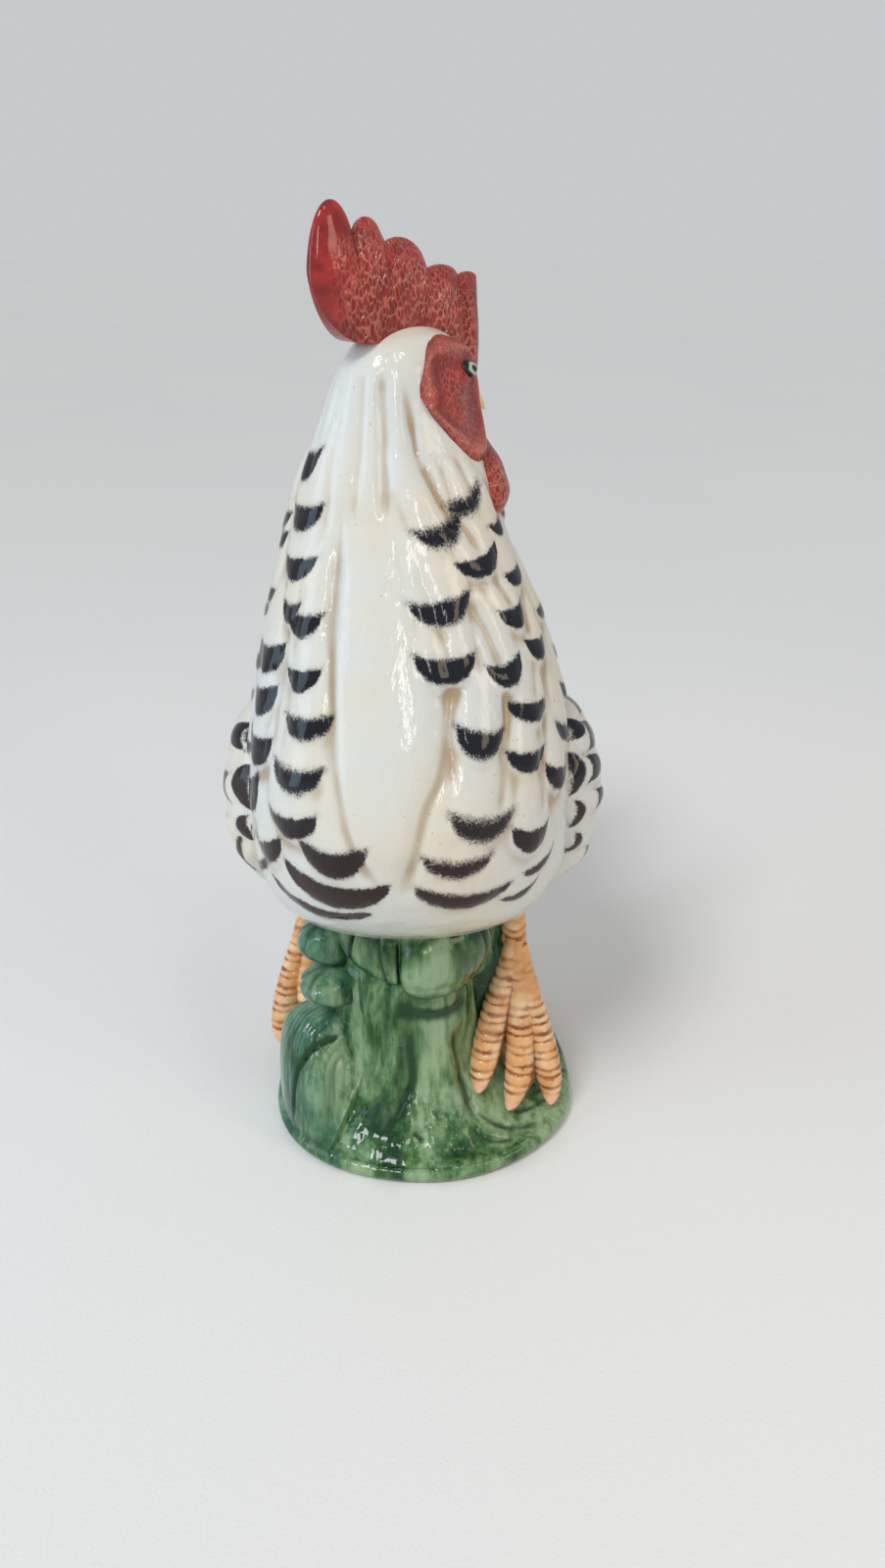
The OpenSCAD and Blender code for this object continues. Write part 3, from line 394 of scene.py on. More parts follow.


# Green glaze: dark and sage clouds drawn out down the slope, teal patches towards the bird's right as painted
# cool light on that side, dark in pools and with painted shade at the lumps' feet and under the burl
def greenGlaze():
    g = Glaze("greenGlaze", roughness=0.09)
    drawn = g.noise(1.0, 3, g.stretched((52, 52, 20)), 0.55, twist=0.7)
    fine = g.noise(1.0, 3, g.stretched((430, 430, 85)), 0.65)
    cloud = g.maths("ADD", g.times(drawn, 0.72), g.times(fine, 0.28))
    base = g.mix(g.ramp(cloud, 0.38, 0.52), glazes["greenDark"], glazes["green"])
    base = g.mix(g.ramp(cloud, 0.46, 0.63, 0.0, 0.85), base, glazes["greenPale"])
    base = g.mix(g.times(g.field("wearAndHighlight"), 0.5), base, glazes["greenPale"])
    side = g.node("SeparateXYZ", 0, Vector=g.coords)
    # Painted cool light: teal patches on the bird's right side, the side of the cool lamp
    coolLightSide = g.ramp(side, -0.012, -0.045)
    base = g.mix(g.times(coolLightSide, g.ramp(g.noise(45, 2), 0.4, 0.65, 0.05, 0.45)), base, glazes["teal"])
    # Darker where glaze pools in hollows and cuts, and with painted shade at the lumps' feet and under the
    # burl
    base = g.mix(g.times(g.ramp(g.field("poolAndShade"), 0.0, 0.9), 0.93), base, glazes["greenDark"])
    scratch = g.ramp(g.noise(1.0, 2, g.stretched((160, 160, 1300), (0, 8, 0))), 0.64, 0.74)
    base = g.mix(g.times(scratch, 0.16), base, glazes["greenPale"])
    waves = g.bump(g.noise(1.0, 2, g.stretched((200, 200, 50))), 0.0008)
    return g.done(base, g.bump(g.noise(60, 2), 0.0010, waves))


# Leg glaze: ragged brown bands in the cuts between the scutes, tan on them, painted shade along the toes'
# sides and on the ankle post, pale pink claws
def legGlaze():
    g = Glaze("legGlaze", roughness=0.12)
    base = g.mix(g.ramp(g.noise(120, 3), 0.35, 0.7), glazes["tan"], glazes["tanPale"])
    ragged = g.maths("MULTIPLY_ADD", g.noise(1.0, 3, g.stretched((230, 230, 380)), 0.6), 2.0, -1.0)
    band = g.ramp(g.maths("ADD", g.field("band"), ragged), 0.0, 1.0)
    band = g.times(band, g.ramp(g.noise(85, 2), 0.32, 0.62, 0.12, 1.0))
    base = g.mix(band, base, glazes["brown"])
    # Painted shade: dark brown where the feet's pool-and-shade field is set
    base = g.mix(g.times(g.field("poolAndShade"), 0.9), base, glazes["brownDark"])
    base = g.mix(g.field("claw"), base, glazes["claw"])
    return g.done(base, g.bump(g.noise(260, 2), 0.0003))


def beakGlaze():
    g = Glaze("beakGlaze", roughness=0.12)
    base = g.mix(g.ramp(g.noise(220, 2), 0.35, 0.65), glazes["beak"], glazes["beakPale"])
    return g.done(base, g.bump(g.noise(150, 2), 0.0003))


# Eye glaze: the ring field runs from 0 at the pupil to 1 at the dark outline
def eyeGlaze():
    g = Glaze("eyeGlaze", roughness=0.06)
    ring = g.maths("ADD", g.field("ring"), g.maths("MULTIPLY_ADD", g.noise(900, 2), 0.16, -0.08))
    base = g.mix(g.ramp(ring, 0.36, 0.44), glazes["pupil"], glazes["iris"])
    return g.done(g.mix(g.ramp(ring, 0.70, 0.80), base, glazes["pupil"]), g.bump(g.noise(400, 1), 0.00005))


white, red, green = (whiteGlaze(), "white_glaze"), (redGlaze(), "red_glaze"), (greenGlaze(), "green_glaze")
leg, yellow, eyeball = (legGlaze(), "leg_glaze"), (beakGlaze(), "beak_glaze"), (eyeGlaze(), "eye_glaze")
print("glazes mixed")


# Floor and sky: a pale disc, and a world that shows the same pale tone to the camera and in reflections

def addFloor():
    turn = fullTurn(studio["floorSides"])[0]
    ring = np.stack([np.cos(turn), np.sin(turn), turn * 0], -1) * studio["floorRadius"]
    mesh = bpy.data.meshes.new("floor")
    mesh.from_pydata(ring.tolist(), [], [list(range(studio["floorSides"]))])
    g = Glaze("floorPaint", roughness=0.55)
    paint = g.mix(g.ramp(g.noise(3, 2), 0.3, 0.7), studio["floorTint"], studio["floorPale"])
    mesh.materials.append(g.done(paint, g.bump(g.noise(900, 2), 0.0001)))
    floor = bpy.data.objects.new("floor", mesh)
    scene.collection.objects.link(floor)


def addWorld():
    world = bpy.data.worlds.new("paleRoom")
    world.use_nodes = True
    tree = world.node_tree
    sky = tree.nodes["Background"]
    sky.inputs["Color"].default_value = (*studio["worldTint"], 1)
    path = tree.nodes.new("ShaderNodeLightPath")
    seen = path.outputs["Is Camera Ray"]
    for ray in ("Is Glossy Ray", "Is Transmission Ray"):
        more = tree.nodes.new("ShaderNodeMath")
        more.operation = "MAXIMUM"
        tree.links.new(seen, more.inputs[0])
        tree.links.new(path.outputs[ray], more.inputs[1])
        seen = more.outputs[0]
    level = tree.nodes.new("ShaderNodeMapRange")
    tree.links.new(seen, level.inputs["Value"])
    level.inputs["To Min"].default_value = studio["worldLevel"]
    level.inputs["To Max"].default_value = studio["backLevel"]
    tree.links.new(level.outputs[0], sky.inputs["Strength"])
    scene.world = world


addFloor()
addWorld()


# The bird's skin, from the seam on the stump up to the crown, worked out in millimetres

bird = dict(
    bellyZ=82.0, height=150.0, halfWidth=55.0, breast=57.0, rump=84.0, x=-5.5, power=2.1,
    zShares=[0, 0.04, 0.107, 0.187, 0.307, 0.453, 0.6, 0.753, 0.887, 1],
    widthShares=[0.4, 0.66, 0.84, 0.94, 0.98, 0.955, 0.89, 0.78, 0.66, 0.55],
    breastShares=[0.23, 0.36, 0.61, 0.84, 0.98, 1, 0.904, 0.746, 0.596, 0.474],
    rumpShares=[0.36, 0.6, 0.81, 0.94, 1, 0.93, 0.74, 0.56, 0.452, 0.393],
    shiftShares=[1, 0.9, 0.7, 0.55, 0.4, 0.4, 0.5, 0.7, 0.95, 1.15],
)
skull = dict(
    height=52.0, x=-3.0, y=5.0, halfLength=30.0, halfWidth=30.0, turn=math.radians(42),
    zShares=[0, 0.18, 0.36, 0.54, 0.7, 0.83, 0.93, 0.985, 1],
    foreShares=[0.87, 0.783, 0.717, 0.7, 0.683, 0.617, 0.467, 0.25, 0.06],
    rearShares=[1.13, 1.03, 0.95, 0.87, 0.77, 0.65, 0.48, 0.26, 0.06],
    sideShares=[1, 0.867, 0.733, 0.633, 0.567, 0.5, 0.383, 0.2, 0.05],
    turnShares=[0, 0.5, 0.85, 1, 1, 1, 1, 1, 1],
)
neckZ = bird["bellyZ"] + bird["height"]
crownZ = neckZ + skull["height"]
evenSteps = np.linspace(0, 1, 300)
bodyHeights = bird["bellyZ"] + bird["height"] * along(bird["zShares"], evenSteps)
headHeights = neckZ + skull["height"] * along(skull["zShares"], evenSteps)


def headZ(share):
    return neckZ + skull["height"] * share


def bodyRadius(angle, s):
    return ovalRadius(angle, bird["halfWidth"] * along(bird["widthShares"], s),
                      bird["breast"] * along(bird["breastShares"], s),
                      bird["rump"] * along(bird["rumpShares"], s), bird["power"])


# Point of the skin in a direction at a height: an oval about the body's middle line, turning into the skull's
def birdAt(angle, z, off=0.0):
    angle, z = np.broadcast_arrays(np.asarray(angle, float), np.asarray(z, float))
    s = np.interp(z, bodyHeights, evenSteps)
    t = np.interp(z, headHeights, evenSteps)
    k = np.where(z > neckZ, along(skull["turnShares"], t), 0)
    bodyX = bird["x"] * along(bird["shiftShares"], s)
    oval = ovalRadius(angle - skull["turn"] + np.pi / 2, skull["halfWidth"] * along(skull["sideShares"], t),
                      skull["halfLength"] * along(skull["rearShares"], t),
                      skull["halfLength"] * along(skull["foreShares"], t))
    r = blend(bodyRadius(angle, s), oval, k) + off
    return around(blend(bodyX, skull["x"], k), blend(0, skull["y"], k), r, angle, z)


# A tongue of plumage: rounded across, highest at its tip, sinking towards its root; a is the distance across
# and b the distance up from the tip
def tongue(a, b, half, length, height):
    tipLong = 1.15 * half
    y = np.clip(b, 0, length)
    tip = np.sqrt(np.clip(1 - (1 - np.minimum(y, tipLong) / tipLong) ** 2, 0, 1))
    wide = half * tip * (1 - 0.3 * y / length)
    across = np.clip(1 - (a / np.maximum(wide, 1e-3)) ** 2, 0, 1) ** 0.42
    inside = (b > 0) & (b < length) & (np.abs(a) < wide)
    fade = (0.25 + 0.75 * (1 - y / length)) * eased((length - y) / (0.35 * length))
    return np.where(inside, height * across * fade, 0)


# A painted crescent: the distance in mm to its nearer edge, above zero inside; its top is hollow and its foot
# is round
def crescent(a, b, half, tall, hollow=0.22):
    x = np.clip(np.abs(a) / half, 0, 1)
    foot = tall * (1 - np.sqrt(np.clip(1 - x * x, 0, 1)) * 0.98)
    top = tall * (1 - hollow * (1 - x * x))
    return np.minimum(np.minimum(b - foot, top - b), half - np.abs(a))


# Point of a surface and its directions round, up and outwards, from the steps between its neighbours
def surfaceFrame(place, angle, z):
    step, rise = math.radians(1.0), 0.8
    side = unit(place(angle + step, z) - place(angle - step, z))
    up = place(angle, z + rise) - place(angle, z - rise)
    up = unit(up - (up @ side) * side)
    return place(angle, z), side, up, np.cross(side, up)


# Feathers of body and neck
plumage = dict(
    length=36.0, relief=3.0, spread=1.16, blurs=2, backZ=(112, 256, 14.5), backStep=17.5, listed=(-168, 8),
    tips=[  # direction, height, width, depth of the crescent, lean, softness, relief
        (-153, 247, 11, 11, -6, 0.5, 0.5), (-149, 233, 16, 9, -6, 0.4, 0.7),
        (-145.5, 219, 16.5, 8.5, -8, 0.3, 0.8), (-134, 204.7, 13.5, 8.2, -4, 0.4, 1),
        (-143.5, 206.5, 9, 7.5, -4, 0.4, 0.8), (-130, 189.8, 14.2, 8, -10, 0.2, 1),
        (-125.2, 177.2, 18, 8, -10, 0.5, 1), (-127.7, 161.5, 20.5, 9, -6, 0.7, 1),
        (-128.8, 146.5, 23, 9, -10, 0.3, 1), (-113.5, 138.5, 23, 11.5, -3, 0.5, 0.7),
        (-114.8, 126, 37, 12.0, 1, 0.3, 0.4), (-124, 115.9, 40, 6.4, 2, 0.2, 0.3),
        (-175, 223.6, 12, 7, 0, 0.3, 0.8), (-172, 207, 12, 6, 0, 0.3, 0.8),
        (-153.8, 191.3, 19, 10.5, -14, 0.3, 1), (-153.5, 178.2, 19, 11, -14, 0.3, 1),
        (-152.2, 163, 20, 12, -7, 0.3, 1), (-157, 146, 17, 14, -20, 0.3, 0.8),
        (-143.2, 131.5, 21, 9, -24, 0.2, 0.6), (-158, 118, 30, 4.6, -30, 0.2, 0.3),
        (-45, 238, 13, 5.5, -20, 1.0, 0.8), (-61.3, 230.5, 15, 7.5, -16, 0.9, 0.9),
        (-21, 229, 9, 6, -20, 0.3, 0.7), (-43.5, 221, 16.4, 7.6, -13, 0.2, 1),
        (-21.5, 214.8, 12.5, 7, -13, 0.3, 0.9), (-69.5, 210.5, 18.5, 8.6, -6, 0.5, 1),
        (-34, 205, 12.9, 8, -4, 0.2, 1), (0, 200, 12, 7, -14, 0.3, 0.9), (-25, 193.8, 14, 8.4, 6, 0.2, 1),
        (-72.8, 195.3, 18.5, 9.4, 3, 0.35, 1), (-48.2, 191.3, 13.6, 8.8, -2, 0.3, 1),
        (-41.2, 178.8, 18, 7.4, 12, 0.25, 1), (-6, 174, 13, 7, 20, 0.2, 0.9),
        (-64.8, 174.6, 15.8, 9.6, 14, 0.6, 1), (-47.5, 165.5, 16.6, 7.6, 12, 0.3, 1),
        (-21.5, 166, 15, 7, 18, 0.3, 0.9), (-33, 155.6, 15, 8.6, 18, 0.3, 1),
        (-49.8, 141.5, 16.8, 9.6, 12, 0.25, 0.9), (-67.5, 150.1, 20.3, 8.4, 8, 1.1, 0.8),
        (-75.5, 138, 21, 6.8, 4, 0.9, 0.6), (-73, 125.2, 31, 8.0, 8, 0.6, 0.4),
        (-43.2, 129.3, 17, 4.6, -14, 0.2, 0.4), (-50, 120.5, 16, 4.2, -10, 0.2, 0.3),
    ],
    grooves=[  # depth, width, and points as direction and height
        (1.3, 1.5, [(-123, 244), (-120.5, 226), (-119, 206), (-117.8, 194), (-115, 179), (-111.8, 163),
                    (-108, 148), (-102, 135), (-95, 127)]),
        (1.6, 2.2, [(-80, 230), (-76.2, 217), (-72.2, 203), (-71.8, 192), (-75, 180), (-79.5, 166),
                    (-84.5, 157), (-88, 143), (-90.5, 134), (-92, 126)]),
        (0.5, 2.4, [(-76, 150), (-80, 138), (-84, 128)]),
        (2.8, 1.5, [(-87.8, 270), (-82.2, 259), (-76.5, 250), (-71, 245), (-62.8, 239), (-54, 233),
                    (-49.5, 228)]),
        (2.2, 1.3, [(-65.2, 256), (-61.8, 247), (-53.8, 236), (-46, 230), (-42, 222)]),
        (1.7, 1.2, [(-51.2, 252), (-45, 244), (-38.8, 237)]),
        (1.5, 1.8, [(-108.2, 274), (-104.8, 264), (-100.2, 250), (-93.8, 233)]),
        (1.0, 2.2, [(-123.8, 275), (-119.8, 263), (-116.2, 248), (-115.2, 230)]),
        (1.9, 2.0, [(-56, 213), (-52.2, 205), (-51, 197), (-50.5, 192)]),
        (1.5, 1.5, [(-39, 218), (-36.2, 213), (-33.8, 206)]),
        (1.4, 1.4, [(-16.5, 212), (-22.8, 206), (-30, 197)]),
        (1.4, 1.6, [(-49, 188), (-52, 180), (-55.2, 173), (-59, 161), (-63, 150)]),
        (1.3, 1.6, [(-72.8, 191), (-75, 176), (-76, 163)]),
        (1.2, 1.5, [(-30.8, 192), (-36, 184), (-38.2, 180)]),
        (1.1, 1.6, [(-40, 176), (-42, 160), (-44, 146)]),
        (1.0, 1.5, [(-139, 216), (-137, 205), (-136, 190), (-135, 176), (-136, 160)]),
        (0.9, 1.4, [(-146, 216), (-146, 200), (-145, 184), (-146, 168), (-148, 150)]),
    ],
)


# Rows of tips for the sides and the back: staggered by half a step in each row, with a small steady jitter,
# and left out where the tips are listed
def backTips():
    found = []
    left, right = plumage["listed"]
    for row, z in enumerate(np.arange(*plumage["backZ"])):
        girth = float(np.linalg.norm(birdAt(0.0, z) - birdAt(np.pi, z))) / 2
        count = int(round(2 * np.pi * girth / plumage["backStep"]))
        for j in range(count):
            angle = math.degrees(2 * np.pi * (j + 0.5 * (row % 2)) / count) - 180
            jitter = math.sin(12.9 * row + 78.2 * j)
            if not left < angle < right:
                found.append((angle + 1.5 * jitter, z + 2.0 * jitter, 14 + 1.5 * jitter, 7.2 - 0.8 * jitter,
                              -4 * jitter, 0.3, 0.9))
    return found


# Relief, ink and softness on a grid: the highest tongue wins, the nearest crescent inks
def plume(grid, tips, place):
    rise = np.zeros(grid.shape[:2])
    ink = np.full(grid.shape[:2], -9.0)
    soft = np.full(grid.shape[:2], 0.3)
    for angle, z, width, tall, lean, sprayed, share, length, relief in tips:
        centre, side, up, out = surfaceFrame(place, math.radians(angle), z)
        c, s = math.cos(math.radians(lean)), math.sin(math.radians(lean))
        right, climb = c * side - s * up, c * up + s * side
        d = grid - centre
        near = (np.abs(d).max(-1) < length + 4) & (np.abs(d @ out) < 16)
        a, b = d[near] @ right, d[near] @ climb + tall / 2
        swell = tongue(a, b + 0.8, width / 2 * plumage["spread"], length, relief * share)
        rise[near] = np.maximum(rise[near], swell)
        field = crescent(a, b, width / 2, tall)
        better = field > ink[near]
        soft[near] = np.where(better & (field > -4), sprayed, soft[near])
        ink[near] = np.where(better, field, ink[near])
    return rise, ink, soft


# Distance from every grid point to a line of short straight stretches, and the share of the line passed there
def distanceTo(grid, line):
    nearest = np.full(grid.shape[:2], 1e9)
    share = np.zeros(grid.shape[:2])
    count = len(line) - 1
    for i in range(count):
        a, step = line[i], line[i + 1] - line[i]
        k = np.clip(((grid - a) @ step) / (step @ step), 0, 1)
        gap = np.linalg.norm(grid - a - k[..., None] * step, axis=-1)
        closer = gap < nearest
        nearest = np.where(closer, gap, nearest)
        share = np.where(closer, (i + k) / count, share)
    return nearest, share


# Depth of soft furrows along smooth lines: a narrow bell and one 2.8 times as wide, faded out at both ends
def furrowDepth(grid, lines, place, narrow, fade):
    depth = np.zeros(grid.shape[:2])
    for deep, wide, spots in lines:
        gap, share = distanceTo(grid, place(along(spots, np.linspace(0, 1, 4 * len(spots)))))
        section = narrow * bell(gap, wide) + (1 - narrow) * bell(gap, 2.8 * wide)
        ends = np.clip(fade * share, 0, 1) * np.clip(fade * (1 - share), 0, 1)
        depth = np.maximum(depth, deep * section * ends)
    return depth


# Share of glaze that pools: how far the relief lies below its own blurred copy, over the depth that fills it
def pooling(rise, wide, full):
    return np.clip((blurred(rise, wide) - rise) / full, 0, 1)


coat = dict(
    cols=352, bodyRows=158, headRows=72, seamWide=9, seamPasses=40,
    shieldAt=-97, shieldHalf=21, shieldHigh=1.5, barbs=46, barbHigh=0.16, hackles=11, hackleHigh=0.75,
    cheekFrom=20, cheekTo=124, cheekHeld=0.96,
)


# Shield down the middle of the breast: flat across with a steep edge, faded out above and below
def shield(degrees, z):
    across = np.exp(-((degrees - coat["shieldAt"]) / coat["shieldHalf"]) ** 4)
    return coat["shieldHigh"] * across * eased((z - 128) / 20) * eased((238 - z) / 40)


# Fine barbs on the flanks and long hackles round the neck: folded sine waves round the body, slanting upwards
def barbsAndHackles(degrees, z):
    turn = np.radians(degrees)
    fine = coat["barbHigh"] * np.abs(np.sin(turn * coat["barbs"] + 0.04 * z)) * eased((z - 150) / 40)
    fine = fine * eased((-118 - degrees) / 12 + eased((degrees + 10) / 20) * 12)
    long = coat["hackleHigh"] * (np.abs(np.sin(turn * coat["hackles"] + 0.045 * (z - 240))) - 0.6)
    long = long * eased((z - 226) / 16) * eased((278 - z) / 14)
    back = eased((degrees + 30) / 30) + eased((-135 - degrees) / 20)
    return fine + long * np.clip(back, 0.25, 1)


# Share of the head that the cheeks cover, where the relief is nearly flat so that it stays under them
def underCheeks(degrees, z):
    turned = np.abs((degrees - math.degrees(skull["turn"]) + 180) % 360 - 180)
    sides = eased((turned - coat["cheekFrom"]) / 8) * eased((coat["cheekTo"] - turned) / 8)
    return sides * eased((z - 246) / 5) * eased((284 - z) / 4)


# Body and head in one skin: the ovals eased into each other at the neck, then raised by the relief
def makeBird():
    bodySteps = np.linspace(0, 1, coat["bodyRows"])
    headSteps = np.linspace(0, 1, coat["headRows"])[1:-1]
    z = np.concatenate([bird["bellyZ"] + bird["height"] * along(bird["zShares"], bodySteps),
                        neckZ + skull["height"] * along(skull["zShares"], headSteps)])[:, None]
    turn = fullTurn(coat["cols"], -np.pi)
    degrees = np.degrees(turn)
    grid = birdAt(turn, z)
    seam = bell(z - neckZ, coat["seamWide"])[1:-1, :, None]
    for _ in range(coat["seamPasses"]):
        grid[1:-1, :, :2] += 0.5 * seam * ((grid[:-2, :, :2] + grid[2:, :, :2]) / 2 - grid[1:-1, :, :2])
    normals = gridNormals(grid)
    tips = [tip + (plumage["length"], plumage["relief"]) for tip in plumage["tips"] + backTips()]
    rise, ink, soft = plume(grid, tips, birdAt)
    rise = np.maximum(rise, shield(degrees, z)) + barbsAndHackles(degrees, z)
    cut = furrowDepth(grid, plumage["grooves"], lambda p: birdAt(np.radians(p[:, 0]), p[:, 1]), 0.68, 6)
    rise = blurred(rise - cut, plumage["blurs"]) * eased((z - bird["bellyZ"]) / 12) * eased((crownZ - z) / 8)
    rise = rise * (1 - coat["cheekHeld"] * underCheeks(degrees, z))
    grid = grid + normals * rise[..., None]
    skin("glazedBody", grid, white, ["body_shell", "head_neck"],
         dict(mark=ink, soft=soft, poolAndShade=pooling(rise, 14, 0.7)))


makeBird()
print("body and neck shaped")


# Wings, laid on the flanks: rows of short tips at the shoulder, then long ones to the point

wings = dict(
    height=72.0, z=95.0, thick=12.5, angles=(-18.0, 68.0), middleShare=0.62,
    topShares=[0.86, 0.96, 1, 1, 0.97, 0.92, 0.87, 0.82, 0.78],
    bottomShares=[0.2, 0.07, 0, 0, 0.05, 0.14, 0.27, 0.42, 0.58],
    puffShares=[0.45, 0.8, 1, 0.98, 0.85, 0.68, 0.52, 0.4, 0.3],
    shoulderArc=0.22, tipArc=0.35, tipPower=0.7, markLift=6.0,
    rows=[  # share of the reach, first height, step, count, width, crescent depth, length, relief, droop
        (0.41, 110, 12.5, 5, 13.0, 6.0, 26, 1.6, 16),
        (0.57, 106, 11.0, 6, 12.0, 5.5, 34, 1.7, 14),
        (0.75, 116, 9.5, 5, 10.5, 5.0, 46, 1.5, 13),
        (0.90, 133, 8.0, 3, 9.0, 5.0, 50, 1.4, 12),
    ],
    leftMarks=[  # direction, height, width, crescent depth, droop, softness of the marks on the shoulder
        (-12.8, 149, 15, 6.0, 12, 0.3), (-14.2, 134, 10, 4.5, 10, 0.3), (-12.5, 121.5, 9, 3.4, 0, 0.2),
        (-3.0, 146, 9.5, 12.0, 14, 0.3), (-2.5, 134.5, 7.5, 9.0, 8, 0.2), (2.5, 155, 10, 13.0, 20, 0.3),
        (-5.0, 161, 8, 7.0, 26, 0.3), (9.0, 164, 8, 8.0, 24, 0.3), (8.0, 141, 11, 9.0, 14, 0.3),
        (7.0, 124, 12, 8.0, 8, 0.3), (-2.0, 112, 10, 6.0, -4, 0.3),
    ],
    rightMarks=[
        (-12.5, 143.5, 16, 9.0, 14, 0.3), (-13.0, 128, 10, 6.5, 10, 0.3), (-3.0, 157.5, 10, 11.0, 22, 0.3),
        (0.5, 138, 10, 13.0, 12, 0.3), (-7.5, 115, 17, 4.0, -10, 0.2), (3.0, 121, 10, 9.0, 6, 0.3),
        (8.0, 154, 11, 9.0, 20, 0.3), (-9.0, 160, 7, 5.0, 26, 0.3),
    ],
)


seatCount = 8            # points of each row along the seat of a pad


def wingPlace(side):
    def place(angle, z, off=0.0):
        return birdAt(angle if side > 0 else np.pi - angle, z, off)
    return place


# Pad on a skin: each row runs over its top at its thickness, then back along a seat a little under the skin
def padGrid(place, turns, low, high, thick, sink=0.7):
    v = np.linspace(0, 1, thick.shape[1])[None, :]
    back = np.linspace(1, 0, seatCount + 2)[None, 1:-1]
    top = place(turns, blend(low, high, v), thick - sink)
    seat = place(turns, blend(low, high, back), -sink - 0.5)
    return np.concatenate([top, np.broadcast_to(seat, (len(top), seatCount, 3))], 1)


# Field of a pad: as given on its top, then its edge value or the fill along the seat
def overSeat(values, fill=None):
    edge = values[:, -1:] if fill is None else np.full((len(values), 1), fill)
    return np.concatenate([values, np.repeat(edge, seatCount, 1)], 1)


# Wing: a pad whose outline rounds in at the shoulder and narrows to the tip, its swell a half oval across
def makeWing(side, name, node):
    u = (1 - np.cos(np.pi * column(0.012, 0.988, 130))) / 2
    v = np.linspace(0, 1, 96)[None, :]
    turns = np.radians(blend(*wings["angles"], u))
    shoulder = 1 - np.minimum(u / wings["shoulderArc"], 1)
    tip = np.minimum((1 - u) / wings["tipArc"], 1)
    rounded = np.sqrt(np.clip(1 - shoulder ** 2, 0, 1)) * tip ** wings["tipPower"]
    mid = wings["z"] + wings["height"] * wings["middleShare"]
    low = blend(mid, wings["z"] + wings["height"] * along(wings["bottomShares"], u), rounded)
    high = blend(mid, wings["z"] + wings["height"] * along(wings["topShares"], u), rounded)
    puff = np.sqrt(dome(v)) * rounded * (wings["thick"] * along(wings["puffShares"], u) - 1.2)
    grid = padGrid(wingPlace(side), turns, low, high, puff)
    rows, marks = [], [(*mark, 22, 1.5) for mark in wings["leftMarks" if side > 0 else "rightMarks"]]
    for share, first, step, count, width, tall, length, relief, droop in wings["rows"]:
        for i in range(count):
            angle = blend(*wings["angles"], share + 0.012 * math.sin(5.1 * i + 9 * share))
            rows.append((angle, first + step * i, width, tall, droop, 0.25, length, relief))
    tips = [(angle if side > 0 else 180 - angle, z, width, tall, side * (droop - 90), soft, 1, length, relief)
            for angle, z, width, tall, droop, soft, length, relief in rows + marks]
    rise, ink, soft = plume(grid, tips, lambda a, z: birdAt(a, z, wings["markLift"]))
    rise = blurred(rise, 2) * overSeat(eased(dome(v) * 2.2) * rounded, fill=0.0)
    top = overSeat(np.ones_like(puff), fill=0.0)
    grid = grid + gridNormals(grid) * (rise * top)[..., None]
    skin(name, grid, white, [node], dict(mark=ink, soft=soft, poolAndShade=pooling(rise, 10, 0.7) * top), crease=70)


makeWing(1, "leftWing", "wing_left")
makeWing(-1, "rightWing", "wing_right")
print("wings laid on")


# Tail: a core that grows out of the rump, two long arched sickles and two short ones

tail = dict(
    height=92.0, length=68.0, thick=34.0, topThick=16.0, startShare=0.8, rootZShare=0.5, rootShare=0.29,
    yShares=[0.25, 0.39, 0.51, 0.585, 0.63, 0.66], zShares=[0.02, 0.13, 0.28, 0.46, 0.62, 0.74],
    widthShares=[0.3, 0.335, 0.335, 0.3, 0.22, 0.1], rootFacing=(0.88, 0.47), powers=(0.3, 0.45),
    featherThick=6.0, featherHalf=11.0,
    rootRows=22, pathRows=92, cols=132, bars=[0.12, 0.23, 0.34, 0.52, 0.70, 0.86],
    featherRows=110, over=30, under=14,
    sickle=dict(length=150, yShares=[0.06, 0.16, 0.34, 0.6, 0.82, 0.86, 0.8],
                zShares=[0.36, 0.63, 0.84, 0.88, 0.72, 0.45, 0.2],
                widthShares=[0.2, 0.75, 1, 1, 0.85, 0.6, 0.12],
                bars=[0.30, 0.44, 0.58, 0.72, 0.85, 0.95]),
    covert=dict(length=90, yShares=[0.14, 0.28, 0.46, 0.6, 0.62, 0.56],
                zShares=[0.14, 0.38, 0.52, 0.43, 0.18, -0.04], widthShares=[0.2, 0.8, 1, 0.9, 0.65, 0.12],
                bars=[0.36, 0.54, 0.72, 0.88]),
)
tailRootZ = bird["bellyZ"] + bird["height"] * tail["rootZShare"]


# Point of a line of the tail, back and up, and the direction in which it runs there
def tailSpot(shape, s):
    return np.stack([bird["rump"] * tail["startShare"] + tail["length"] * along(shape["yShares"], s),
                     tailRootZ + tail["height"] * along(shape["zShares"], s)], -1)


def tailHeading(shape, s, step):
    return unit(tailSpot(shape, np.minimum(s + step, 1)) - tailSpot(shape, np.maximum(s - step, 0)))


def tailHalf(z):
    return blend(tail["thick"], tail["topThick"], np.clip((z - tailRootZ) / tail["height"], 0, 1)) / 2


# How far back the body's skin lies over a spot: its oval solved for the depth
def backOfBody(x, z):
    s = np.interp(z, bodyHeights, evenSteps)
    side = bird["halfWidth"] * along(bird["widthShares"], s)
    cx = bird["x"] * along(bird["shiftShares"], s)
    share = np.clip(1 - np.abs((x - cx) / side) ** bird["power"], 0, 1)
    return bird["rump"] * along(bird["rumpShares"], s) * share ** (1 / bird["power"])


